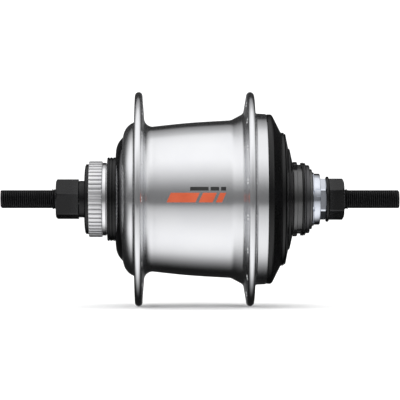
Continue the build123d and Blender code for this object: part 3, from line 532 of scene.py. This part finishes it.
def nut(name, node, corner_degrees, outward, face_r, blunt=0.12):
    """Hexagon nut whose outer face, at radius face_r, is turned off towards its corners.

    outward is -1 for a nut on the left and 1 for one on the right.
    """
    outer_x, inner_x = span(node)[::-outward]
    side = hexagon_radius(corner_degrees, blunt)

    def shape(x, r, t):
        if r <= NUT_BORE_R + NUT_BORE_CHAMFER:
            return r
        turned_off = face_r + (outer_x - x) * outward * NUT_CHAMFER_SLOPE
        short_of_round = max(0.0, NUT_INNER_ROUND - (x - inner_x) * outward)
        return min(r, side(t) - short_of_round * NUT_INNER_SLOPE, turned_off)

    chamfer = (CORNER_R - face_r) / NUT_CHAMFER_SLOPE
    outline = [(inner_x, NUT_BORE_R), (inner_x, NUT_BORE_R + 1.2), (inner_x, CORNER_R)]
    outline += [(inner_x + NUT_INNER_ROUND * outward, CORNER_R)]
    for k in range(CHAMFER_RINGS + 3):
        depth = chamfer * (1.25 - k / CHAMFER_RINGS)
        outline.append((outer_x - depth * outward, CORNER_R))
    outline += [(outer_x, face_r), (outer_x, NUT_BORE_R + 1.4)]
    outline += [(outer_x, NUT_BORE_R + NUT_BORE_CHAMFER)]
    outline += [(outer_x - NUT_BORE_CHAMFER * outward, NUT_BORE_R)]
    lathe(name, outline, "root", node, nut_angles(corner_degrees), shape)


nut("locknut_left", "left_locknut", LEFT_NUT_CORNER, -1, 8.3)
nut("locknut_right", "right_locknut", RIGHT_NUT_CORNER, 1, 8.3)
nut("stop_nut", "right_stop_nut", RIGHT_NUT_CORNER, 1, 9.2, blunt=0.2)

RING_BORE_R = AXLE_R + 0.05
WASHER_R = 10.6
WASHER_FACE_R = 8.4
washer_x = span("right_washer")
washer_outline = [
    (washer_x[0], RING_BORE_R),
    (washer_x[0], WASHER_FACE_R),
    (washer_x[0] + 0.15, WASHER_R - 0.45),
    (washer_x[0] + 0.35, WASHER_R),
    (washer_x[1] - 0.35, WASHER_R),
    (washer_x[1] - 0.1, WASHER_R - 0.45),
    (washer_x[1], WASHER_FACE_R),
    (washer_x[1], RING_BORE_R),
]
lathe("washer_right", softened(washer_outline, 0.15), "root", "right_washer")

SPACER_R = 8.6
spacer_x = span("left_spacer")
spacer_outline = [
    (spacer_x[0], RING_BORE_R),
    (spacer_x[0], SPACER_R - 0.3),
    (spacer_x[0] + 0.3, SPACER_R),
    (spacer_x[1], SPACER_R),
    (spacer_x[1], RING_BORE_R),
]
lathe("spacer_left", softened(spacer_outline, 0.12), "root", "left_spacer")

# --- hub shell ----------------------------------------------------------------------
FLANGE_R = 50.25
LEFT_FLANGE_X = -28.4
LEFT_SPOKE_CIRCLE = 46.3
RIGHT_FLANGE_X = 23.1
RIGHT_SPOKE_CIRCLE = 46.9
LEFT_RIM_HALF = 1.75
RIGHT_RIM_HALF = 1.8
# The flanges lean outwards a little, so their rims stand further out than their webs.
RIM_SHIFT = 0.35
RIM_SHOULDER_R = 48.5
SPOKES_PER_FLANGE = 18
SPOKE_HOLE_R = 1.45
SPOKE_FLARE_R = 1.95
# Ends of the straight middle of a spoke hole, and of its flares, either side of the web.
SPOKE_HOLE_HALF = 1.6
SPOKE_FLARE_HALF = 4.0
SHELL_LEFT_BORE_R = 16.7
BARREL = [(-22.4, 34.05), (-9.4, 35.45), (0.0, 36.2), (13.6, 37.0)]
SHELL_BORE = [
    (30.5, 40.0),
    (31.0, 39.7),
    (31.0, 35.75),
    (16.9, 35.75),
    (16.9, 33.6),
    (10.0, 33.6),
    (-5.0, 31.3),
    (-25.5, 31.3),
    (-25.5, 29.2),
    (-33.5, 29.2),
    (-36.0, 24.0),
    (-36.0, SHELL_LEFT_BORE_R),
    (-39.4, SHELL_LEFT_BORE_R),
]


def rim(x, half, spoke_circle, left_foot, right_foot):
    """A flange's left face, round rim and right face, with rings for the spoke holes."""
    ring_radii = (spoke_circle - 3.0, spoke_circle)

    def face(foot, end_x):
        foot_x, foot_r = foot
        slope = (end_x - foot_x) / (RIM_SHOULDER_R - foot_r)
        return [foot, *[(foot_x + slope * (r - foot_r), r) for r in ring_radii]]

    left = (x - half, RIM_SHOULDER_R)
    right = (x + half, RIM_SHOULDER_R)
    nose = arc(left, (x, FLANGE_R), right, 16)
    return face(left_foot, left[0]) + nose + face(right_foot, right[0])[::-1]


def shell_outline():
    """Outside of the drum shell from left to right, and back along its bore."""
    left_rim = (LEFT_FLANGE_X - RIM_SHIFT, LEFT_RIM_HALF, LEFT_SPOKE_CIRCLE)
    right_rim = (RIGHT_FLANGE_X + RIM_SHIFT, RIGHT_RIM_HALF, RIGHT_SPOKE_CIRCLE)
    dome = arc((-39.4, 22.4), (-38.35, 26.3), (-36.3, 28.9), 14)
    dome += arc((-35.9, 30.4), (-34.4, 33.6), (-31.6, 35.8), 14)
    dome += arc((-31.6, 35.8), (-30.9, 36.4), (-30.6, 37.4), 6)[1:]
    left_flange = rim(*left_rim, (-30.6, 37.4), (-26.2, 37.6))[1:]
    left_flange += arc((-26.2, 37.6), (-25.1, 35.3), (-22.4, 34.05), 10)[1:]
    barrel = curve(BARREL)[1:]
    barrel += arc((13.6, 37.0), (14.7, 37.25), (15.7, 37.75), 5)[1:]
    barrel += arc((19.2, 39.6), (20.1, 40.5), (20.5, 41.8), 8)
    right_flange = rim(*right_rim, (20.5, 41.8), (25.75, 41.5))[1:]
    right_flange += arc((25.75, 41.5), (25.95, 40.7), (26.5, 40.2), 5)[1:]
    return dome + left_flange + barrel + right_flange + SHELL_BORE


hub_shell = lathe(
    "drum_shell", shell_outline(), "shell", "hub_shell", even_angles(LARGE_LATHE_STEPS)
)


def spoke_hole_cutters():
    """One mesh of all the spoke holes, each slightly flared at both faces."""
    profile = [
        (-SPOKE_FLARE_HALF, SPOKE_FLARE_R),
        (-SPOKE_HOLE_HALF, SPOKE_HOLE_R),
        (SPOKE_HOLE_HALF, SPOKE_HOLE_R),
        (SPOKE_FLARE_HALF, SPOKE_FLARE_R),
    ]
    sides = 20
    verts, faces = [], []
    pitch = 2 * pi / SPOKES_PER_FLANGE
    for flange_x, circle, first in (
        (LEFT_FLANGE_X, LEFT_SPOKE_CIRCLE, 0.0),
        (RIGHT_FLANGE_X, RIGHT_SPOKE_CIRCLE, pitch / 2),
    ):
        for k in range(SPOKES_PER_FLANGE):
            t = first + k * pitch
            cy, cz = circle * cos(t), circle * sin(t)
            base = len(verts)
            for dx, r in profile:
                for a in even_angles(sides):
                    verts.append((flange_x + dx, cy + r * cos(a), cz + r * sin(a)))
            for i in range(len(profile) - 1):
                for j in range(sides):
                    a, b = base + i * sides + j, base + i * sides + (j + 1) % sides
                    faces.append((a, b, b + sides, a + sides))
            top = base + (len(profile) - 1) * sides
            faces.append(tuple(base + j for j in reversed(range(sides))))
            faces.append(tuple(top + j for j in range(sides)))
    return new_object("spoke_hole_cutters", verts, faces)


def cut(piece, cutter):
    """Subtracts the cutter from the piece's mesh and removes the cutter."""
    boolean = piece.modifiers.new("holes", "BOOLEAN")
    boolean.operation = "DIFFERENCE"
    boolean.solver = "EXACT"
    boolean.object = cutter
    graph = bpy.context.evaluated_depsgraph_get()
    cut_mesh = bpy.data.meshes.new_from_object(piece.evaluated_get(graph), depsgraph=graph)
    piece.modifiers.clear()
    piece.data = cut_mesh
    smooth(cut_mesh)
    bpy.data.objects.remove(cutter)


cut(hub_shell, spoke_hole_cutters())

# The steep foot of the left dome is turned finer, and its darker colour is painted shade.
DOME_FOOT_X = (-40.0, -36.35)
DOME_FOOT_R = (SHELL_LEFT_BORE_R + 0.5, 28.9)
refinish(hub_shell, MATERIALS["dome_foot_painted_shade"], DOME_FOOT_X, DOME_FOOT_R)

# --- rotor mount on the left --------------------------------------------------------
SPLINE_TEETH = 48
SPLINE_PITCH = 2 * pi / SPLINE_TEETH
SPLINE_TIP_R = 17.8
SPLINE_ROOT_R = 16.9
SPLINE_X = (-52.0, -45.75)
# Shares of the pitch from the middle of a tooth: its top bends off from the first to the
# second, and its flank falls from the second to the third.
TOOTH_TOP, TOOTH_EDGE, TOOTH_FOOT = 0.2, 0.36, 0.41
TOOTH_ROUND = 0.1
MOUNT_END_X = -36.0
MOUNT_BORE_R = 13.9
CAP_SEAT_X = -49.0
CAP_SPIGOT_R = 15.6
BAND_R = 17.1
BAND_X = (-45.5, -44.05)


def spline_angles():
    """Angles at the corners and flanks of every tooth."""
    shares = (-0.5, -0.42, -0.405, -0.36, -0.33, -0.2, 0.0, 0.2, 0.33, 0.36, 0.405, 0.42)
    out = [(k + 0.5 + s) * SPLINE_PITCH for k in range(SPLINE_TEETH) for s in shares]
    return sorted(t % (2 * pi) for t in out)


def spline_surface(x, r, t):
    """Tooth flanks of the rotor spline."""
    if r < SPLINE_ROOT_R or not SPLINE_X[0] - HAIR <= x <= SPLINE_X[1] + HAIR:
        return r
    offset = abs(t % SPLINE_PITCH / SPLINE_PITCH - 0.5)
    bent = min(1.0, max(0.0, (offset - TOOTH_TOP) / (TOOTH_EDGE - TOOTH_TOP)))
    fall = min(1.0, max(0.0, (offset - TOOTH_EDGE) / (TOOTH_FOOT - TOOTH_EDGE)))
    top = max(SPLINE_ROOT_R, r - TOOTH_ROUND * bent**2)
    return top * (1 - fall) + SPLINE_ROOT_R * fall


mount_outline = [
    (SPLINE_X[0], CAP_SPIGOT_R),
    (SPLINE_X[0], SPLINE_ROOT_R),
    (SPLINE_X[0], SPLINE_TIP_R - 0.35),
    (SPLINE_X[0] + 0.12, SPLINE_TIP_R - 0.12),
    (SPLINE_X[0] + 0.4, SPLINE_TIP_R),
    (-50.0, SPLINE_TIP_R),
    (-48.0, SPLINE_TIP_R),
    (-46.0, SPLINE_TIP_R),
    (-45.85, SPLINE_TIP_R - 0.06),
    (SPLINE_X[1], SPLINE_TIP_R - 0.25),
    (SPLINE_X[1], SPLINE_ROOT_R),
    (SPLINE_X[1], SHELL_LEFT_BORE_R),
    (SPLINE_X[1] + 0.1, SHELL_LEFT_BORE_R),
    (BAND_X[0] - 0.1, BAND_R - 0.1),
    (BAND_X[0], BAND_R),
    (BAND_X[1], BAND_R),
    (BAND_X[1] + 0.15, BAND_R - 0.1),
    (BAND_X[1] + 0.25, SHELL_LEFT_BORE_R),
    (MOUNT_END_X, SHELL_LEFT_BORE_R),
    (MOUNT_END_X, MOUNT_BORE_R),
    (CAP_SEAT_X, MOUNT_BORE_R),
    (CAP_SEAT_X, CAP_SPIGOT_R),
]
rotor_mount = lathe(
    "rotor_mount", mount_outline, "shell", "rotor_adapter", spline_angles(), spline_surface
)
# The plain band takes the lighter aluminium, a painted highlight.
refinish(rotor_mount, MATERIALS["band_painted_highlight"], (BAND_X[0] - 0.15, BAND_X[1] + 0.35), (16.8, 18.0))

CAP_R = 16.4
CAP_BORE_R = 9.1
cap_outline = [
    (-54.0, CAP_BORE_R),
    (-54.0, 13.8),
    (-53.75, 15.6),
    (-53.35, CAP_R),
    (SPLINE_X[0], CAP_R),
    (SPLINE_X[0], CAP_SPIGOT_R),
    (-49.4, CAP_SPIGOT_R),
    (-49.4, 14.4),
    (-52.0, 14.4),
    (-52.0, CAP_BORE_R),
]
lathe("rotor_cap", softened(cap_outline, 0.3, 6), "shell", "rotor_thread_cap")

RING_R = 19.6
RING_GROOVES = (-42.25, -40.85)
GROOVE_DEPTH = 0.35
ring_x = span("left_seal_ring")
ring_outline = [(ring_x[0], SHELL_LEFT_BORE_R), (ring_x[0], RING_R - 0.3)]
ring_outline += [(ring_x[0] + 0.3, RING_R)]
for groove_x in RING_GROOVES:
    ring_outline += [(groove_x - 0.3, RING_R), (groove_x - 0.15, RING_R - GROOVE_DEPTH)]
    ring_outline += [(groove_x + 0.15, RING_R - GROOVE_DEPTH), (groove_x + 0.3, RING_R)]
ring_outline += [(ring_x[1], RING_R), (ring_x[1], SHELL_LEFT_BORE_R)]
lathe("seal_ring_left", softened(ring_outline, 0.12), "shell", "left_seal_ring")

# --- covers and driver on the right -------------------------------------------------
COVER_R = 39.8
cover_outline = [
    (31.0, 36.85),
    (31.0, COVER_R - 0.5),
    (31.3, COVER_R),
    (32.9, COVER_R),
    (33.6, 39.35),
    (34.1, 38.6),
    (37.6, 31.6),
    (38.0, 31.2),
    (39.2, 31.2),
    (39.2, 29.2),
    (37.1, 29.2),
    (33.2, 36.85),
]
lathe(
    "cover_right",
    softened(cover_outline, 0.3, 5),
    "shell",
    "right_cover",
    even_angles(LARGE_LATHE_STEPS),
)

NECK_R = 15.5
dust_cap_outline = [
    (38.7, NECK_R),
    (38.7, 26.8),
    (36.8, 26.8),
    (36.8, 28.2),
    (39.5, 28.5),
    (39.5, 30.6),
    (39.9, 30.7),
    (41.2, 24.2),
    (41.3, 23.7),
    (41.8, 23.7),
    (42.0, 23.2),
    (43.2, 17.8),
    (43.2, NECK_R),
]
lathe(
    "dust_cap_driver",
    softened(dust_cap_outline, 0.25, 5),
    "driver",
    "driver_dust_cap",
    even_angles(LARGE_LATHE_STEPS),
)

DRIVER_BORE_R = 13.0
SEAT_R = 17.5
LAND_R = 17.1
LUG_ANGLES = (3, 123, 243)
LUG_HALF_ANGLE = 9
LUG_X = (43.5, 47.5)
LUG_FLOOR_R = NECK_R + 0.4
VALLEY_ANGLES = (90, 270)
VALLEY_HALF_ANGLE = 34
VALLEY_X = (45.5, 47.1)
VALLEY_FLOOR_R = 16.2
SNAP_RING_X = (47.5, 48.4)
SNAP_RING_R = (14.5, 17.2)
SNAP_RING_GAP = (54, 66)
# Just outside the inner radius, so that the ring stays one closed surface at its gap.
SNAP_RING_GAP_R = 14.6
# In radians: half the width of the step at each side of a slot, and the room kept round it.
SLOT_SIDE = 0.004
SLOT_ROOM = 0.01


def driver_angles():
    """Even angles with the sides of the lug slots and of the two valleys added."""
    edges = [a + s * LUG_HALF_ANGLE for a in LUG_ANGLES for s in (-1, 1)]
    edges += [a + s * VALLEY_HALF_ANGLE for a in VALLEY_ANGLES for s in (-1, 1)]
    sides = [radians(edge) + step for edge in edges for step in (-SLOT_SIDE, SLOT_SIDE)]
    clear = [t for t in even_angles(180) if all(turn_between(t, s) > SLOT_ROOM for s in sides)]
    return sorted(clear + [s % (2 * pi) for s in sides])


def driver_surface(x, r, t):
    """The three slots that a sprocket's lugs fit in, and the valleys above and below."""
    for middles, half, ends, floor_r in (
        (LUG_ANGLES, LUG_HALF_ANGLE, LUG_X, LUG_FLOOR_R),
        (VALLEY_ANGLES, VALLEY_HALF_ANGLE, VALLEY_X, VALLEY_FLOOR_R),
    ):
        if r > floor_r and ends[0] - HAIR <= x <= ends[1] + HAIR:
            if min(turn_between(t, radians(m)) for m in middles) < radians(half):
                r = floor_r
    return r


def snap_ring_surface(x, r, t):
    """The open gap between the two ends of the snap ring."""
    first, last = SNAP_RING_GAP
    return SNAP_RING_GAP_R if radians(first) < t < radians(last) else r


driver_outline = [
    (38.7, DRIVER_BORE_R),
    (38.7, NECK_R),
    (LUG_X[0], NECK_R),
    (LUG_X[0], SEAT_R - 0.2),
    (43.7, SEAT_R),
    (45.15, SEAT_R),
    (45.4, LAND_R),
    (VALLEY_X[0] - 0.05, LAND_R),
    (VALLEY_X[0], LAND_R),
    (VALLEY_X[1], LAND_R),
    (VALLEY_X[1] + 0.05, LAND_R),
    (SNAP_RING_X[0] - 0.1, LAND_R - 0.02),
    (SNAP_RING_X[0], LAND_R - 0.12),
    (SNAP_RING_X[0], 15.0),
    (SNAP_RING_X[0], DRIVER_BORE_R),
]
lathe("driver_mouth", driver_outline, "driver", "driver", driver_angles(), driver_surface)

snap_ring_outline = [
    (SNAP_RING_X[0], SNAP_RING_R[0]),
    (SNAP_RING_X[0], SNAP_RING_R[1] - 0.4),
    (SNAP_RING_X[0] + 0.25, SNAP_RING_R[1]),
    (SNAP_RING_X[1] - 0.25, SNAP_RING_R[1]),
    (SNAP_RING_X[1], SNAP_RING_R[1] - 0.4),
    (SNAP_RING_X[1], SNAP_RING_R[0]),
]
# The snap ring takes the black plastic, which paints the dark shade of the groove it sits in.
lathe(
    "snap_ring",
    softened(snap_ring_outline, 0.1),
    "driver",
    "sprocket_snap_ring",
    even_angles(360),
    snap_ring_surface,
    material=MATERIALS["black_plastic"],
)

COLLAR_R = 16.0
COLLAR_END_X = 51.2
collar_outline = [
    (SNAP_RING_X[1], DRIVER_BORE_R),
    (SNAP_RING_X[1], LAND_R - 0.2),
    (48.9, LAND_R),
    (49.25, 16.75),
    (49.6, COLLAR_R),
    (COLLAR_END_X - 0.4, COLLAR_R),
    (COLLAR_END_X, COLLAR_R - 0.3),
    (COLLAR_END_X, DRIVER_BORE_R),
]
# The collar takes the darker copy of the driver steel, as painted shade.
lathe(
    "driver_collar",
    softened(collar_outline, 0.12),
    "driver",
    "driver",
    even_angles(180),
    material=MATERIALS["driver_collar"],
)

end_cap_outline = [
    (COLLAR_END_X, 12.45),
    (COLLAR_END_X, 14.1),
    (52.1, 14.1),
    (52.4, 13.8),
    (52.4, 8.7),
    (51.4, 8.7),
    (51.4, 12.45),
]
lathe("end_cap_driver", softened(end_cap_outline, 0.15), "driver", "driver_end_cap")

SHIFT_R = 12.0
SHIFT_FLANGE_R = 12.6
NOTCH_ANGLES = (20, 68, 116, 166, 202, 240, 290, 335)
NOTCH_HALF_ANGLE = 4
FLAT_ANGLES = (45, 165, 285)
FLAT_HALF_ANGLE = 9
# The notches are cut before the first place along the axle and the flats after the second.
NOTCH_END_X = 53.35
SHIFT_RIM_X = 54.1
NOTCH_FLOOR_R = 11.4
shift_outline = [
    (52.7, 8.6),
    (52.7, 11.3),
    (52.7, SHIFT_FLANGE_R - 0.15),
    (52.82, SHIFT_FLANGE_R),
    (53.1, SHIFT_FLANGE_R),
    (53.25, SHIFT_FLANGE_R - 0.1),
    (53.4, SHIFT_R + 0.02),
    (SHIFT_RIM_X, SHIFT_R),
    (SHIFT_RIM_X + 0.02, SHIFT_R),
    (55.75, SHIFT_R),
    (56.0, SHIFT_R - 0.15),
    (56.1, SHIFT_R - 0.4),
    (56.1, 8.2),
    (55.0, 8.2),
    (54.0, 8.6),
]


def shift_ring_surface(x, r, t):
    """Notches in the flange and shallow flats in the rim of the shift ring."""
    if r <= NOTCH_FLOOR_R:
        return r
    if x < NOTCH_END_X:
        middles, half = NOTCH_ANGLES, NOTCH_HALF_ANGLE
    elif x > SHIFT_RIM_X:
        middles, half = FLAT_ANGLES, FLAT_HALF_ANGLE
    else:
        return r
    cut_away = min(turn_between(t, radians(m)) for m in middles) < radians(half)
    return NOTCH_FLOOR_R if cut_away else r


lathe(
    "shift_ring_notched", shift_outline, "selector", "shift_ring", even_angles(360), shift_ring_surface
)

# --- printed mark on the barrel -----------------------------------------------------
MARK_HEIGHT = 0.02
MARK_SUNK = 0.08
MARK_COLUMNS = 20
MARK_ROWS = 4
# Each bar's ends along the axle at its foot, then its foot and its top.
ORANGE_BARS = [(-15.6, -2.4, -1.5, 2.9), (-0.9, 5.4, -1.5, 2.9), (6.9, 9.7, -1.5, 2.9)]
BLACK_BARS = [(-4.8, 3.6, 3.9, 5.6), (4.5, 8.4, 3.9, 5.6), (9.3, 11.6, 3.9, 5.6)]
ORANGE_SLANT = 0.45


def barrel_radius(x):
    """Outer radius of the barrel between the flanges at x."""
    points = curve(BARREL)
    for (x0, r0), (x1, r1) in zip(points, points[1:]):
        if x0 <= x <= x1:
            return r0 + (r1 - r0) * (x - x0) / (x1 - x0)
    return points[-1][1]


def bar_faces(base):
    """Faces of one bar, whose upper grid of vertices starts at base, followed by its lower one."""
    columns, rows = MARK_COLUMNS, MARK_ROWS

    def top(i, j):
        return base + i * (rows + 1) + j

    def low(i, j):
        return top(i, j) + (columns + 1) * (rows + 1)

    faces = []
    for i in range(columns):
        for j in range(rows):
            faces.append((top(i, j), top(i + 1, j), top(i + 1, j + 1), top(i, j + 1)))
            faces.append((low(i, j), low(i, j + 1), low(i + 1, j + 1), low(i + 1, j)))
        faces.append((top(i, 0), low(i, 0), low(i + 1, 0), top(i + 1, 0)))
        faces.append((top(i, rows), top(i + 1, rows), low(i + 1, rows), low(i, rows)))
    for j in range(rows):
        faces.append((top(0, j), top(0, j + 1), low(0, j + 1), low(0, j)))
        faces.append((top(columns, j), low(columns, j), low(columns, j + 1), top(columns, j + 1)))
    return faces


def print_bars(name, bars, slant, ink):
    """Thin closed bars on the front of the barrel, leaning by slant."""
    verts, faces = [], []
    for x0, x1, z0, z1 in bars:
        faces += bar_faces(len(verts))
        for height in (MARK_HEIGHT, -MARK_SUNK):
            for i in range(MARK_COLUMNS + 1):
                for j in range(MARK_ROWS + 1):
                    z = z0 + (z1 - z0) * j / MARK_ROWS
                    x = x0 + (x1 - x0) * i / MARK_COLUMNS + slant * (z - z0)
                    r = barrel_radius(x) + height
                    verts.append((x, -((r * r - z * z) ** 0.5), z))
    finish_piece(name, verts, faces, "shell", None, ink)


print_bars("mark_orange", ORANGE_BARS, ORANGE_SLANT, MATERIALS["ink_orange"])
print_bars("mark_black", BLACK_BARS, 0.0, MATERIALS["ink_black"])

# --- floor, light and camera, in metres ---------------------------------------------
FLOOR_HALF = 9
FLOOR_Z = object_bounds()[0].z - 0.0001
floor_mesh = bpy.data.meshes.new("floor")
floor_corners = [(-1, -1), (1, -1), (1, 1), (-1, 1)]
floor_mesh.from_pydata(
    [(FLOOR_HALF * x, FLOOR_HALF * y, FLOOR_Z) for x, y in floor_corners], [], [(0, 1, 2, 3)]
)
floor = bpy.data.objects.new("floor", floor_mesh)
bpy.context.scene.collection.objects.link(floor)
pale = Shader("pale_floor", Roughness=0.9)
pale.colour(pale.blend(pale.noise(pale.place(), 3.0, 2.0), (0.93, 0.93, 0.93), (0.96, 0.96, 0.96)))
floor_mesh.materials.append(pale.material)
floor.visible_glossy = False

# Brightness of the studio by direction round the axle, in degrees from straight in front of
# the object: 90 is overhead, -90 is underneath and 180 is behind it.
STUDIO = [
    (-180, 0.02),
    (-132, 0.01),
    (-127, 0.035),
    (-121, 0.09),
    (-112, 0.24),
    (-102, 0.5),
    (-92, 0.86),
    (-83, 1.06),
    (-72, 1.18),
    (-60, 1.2),
    (-46, 1.12),
    (-28, 0.9),
    (-17, 0.7),
    (-10, 0.46),
    (-7.5, 0.2),
    (3, 0.21),
    (12, 0.24),
    (22, 0.42),
    (34, 0.72),
    (48, 1.02),
    (62, 1.22),
    (90, 1.18),
    (104, 1.1),
    (112, 0.98),
    (117, 0.68),
    (124, 0.52),
    (132, 0.38),
    (138, 0.29),
    (141.5, 0.02),
    (180, 0.03),
]
# A ramp's colours stop at 1, so it holds each brightness divided by this.
RAMP_SCALE = 2
# The rest goes by the direction's x or y, which runs from -1 to 1.
ENDS_X = (0.86, 0.98)
ENDS_SHARE = 0.15
ENDS_LIGHT = 0.14
ENDS_LIT_Y = (-0.1, 0.4)
RIGHT_X = (0.2, 0.8)
RIGHT_SHARE = 0.85
BEHIND_Y = (0.96, 1.0)
BEHIND_LIGHT = 0.16
STUDIO_TINT = (1.0, 1.0, 1.01, 1.0)
WHITE = (1.0, 1.0, 1.0, 1.0)
WHITE_STRENGTH = 1.25


def studio_ramp(s, turn):
    """Brightness by direction round the axle; turn runs from 0 to 1 as STUDIO's degrees do."""
    ramp = s.node("ShaderNodeValToRGB")
    stops = ramp.color_ramp.elements
    for degrees, brightness in STUDIO:
        place = degrees / 360 + 0.5
        if degrees == STUDIO[0][0]:
            stop = stops[0]
        elif degrees == STUDIO[-1][0]:
            stop = stops[-1]
        else:
            stop = stops.new(place)
        stop.position = place
        stop.color = (*[brightness / RAMP_SCALE] * 3, 1.0)
    s.link(turn, ramp.inputs["Fac"])
    return ramp.outputs["Color"]


def studio_world():
    """Bands of light round the axle for what the metal mirrors, and white for everything else."""
    world = bpy.data.worlds.new("studio")
    world.use_nodes = True
    s = Nodes(world.node_tree)
    s.tree.nodes.clear()

    def step(value, across, low, high):
        return s.map_range(value, across, (low, high), "SMOOTHSTEP")

    x, y, z = s.xyz(s.node("ShaderNodeTexCoord").outputs["Generated"])
    angle = s.math("ARCTAN2", z, s.math("MULTIPLY", y, -1.0))
    bands = studio_ramp(s, s.math("MULTIPLY_ADD", angle, 1 / (2 * pi), 0.5))
    along = s.math("ABSOLUTE", x)
    bands = s.math("MULTIPLY", bands, step(along, ENDS_X, RAMP_SCALE, RAMP_SCALE * ENDS_SHARE))
    bands = s.math("MULTIPLY", bands, step(x, RIGHT_X, 1.0, RIGHT_SHARE))
    ends = s.math("MULTIPLY", step(along, ENDS_X, 0.0, ENDS_LIGHT), step(y, ENDS_LIT_Y, 1.0, 0.0))
    behind = step(y, BEHIND_Y, 0.0, BEHIND_LIGHT)

    mirrored = s.node("ShaderNodeBackground")
    mirrored.inputs["Color"].default_value = STUDIO_TINT
    s.link(s.math("ADD", bands, s.math("ADD", ends, behind)), mirrored.inputs["Strength"])
    white = s.node("ShaderNodeBackground")
    white.inputs["Color"].default_value = WHITE
    white.inputs["Strength"].default_value = WHITE_STRENGTH
    mixed = s.node("ShaderNodeMixShader")
    s.link(s.node("ShaderNodeLightPath").outputs["Is Glossy Ray"], mixed.inputs[0])
    s.link(white.outputs[0], mixed.inputs[1])
    s.link(mirrored.outputs[0], mixed.inputs[2])
    s.link(mixed.outputs[0], s.node("ShaderNodeOutputWorld").inputs["Surface"])
    return world


def soft_box(name, place, size, watts):
    """Square area light that points at the hub; the metal doesn't mirror it."""
    light = bpy.data.lights.new(name, "AREA")
    light.size = size
    light.energy = watts
    lamp = bpy.data.objects.new(name, light)
    lamp.location = place
    lamp.rotation_euler = (-Vector(place)).to_track_quat("-Z", "Y").to_euler()
    lamp.visible_glossy = False
    bpy.context.scene.collection.objects.link(lamp)


bpy.context.scene.world = studio_world()
soft_box("key", (-0.5, -1.1, 1.3), 1.2, 8.0)
soft_box("overhead", (0.2, 0.5, 1.6), 1.6, 8.0)

CAMERA_DISTANCE = 1.26
CAMERA_YAW = radians(0.5)
CAMERA_Z = -0.0004
FRAME_WIDTH = 0.18784
camera_data = bpy.data.cameras.new("camera")
camera_data.angle = 2 * atan(FRAME_WIDTH / 2 / CAMERA_DISTANCE)
camera_data.clip_start = 0.05
camera = bpy.data.objects.new("camera", camera_data)
camera.location = (-CAMERA_DISTANCE * sin(CAMERA_YAW), -CAMERA_DISTANCE * cos(CAMERA_YAW), CAMERA_Z)
camera.rotation_euler = (radians(90), 0, -CAMERA_YAW)
bpy.context.scene.collection.objects.link(camera)
bpy.context.scene.camera = camera
bpy.context.scene.view_settings.view_transform = "Standard"
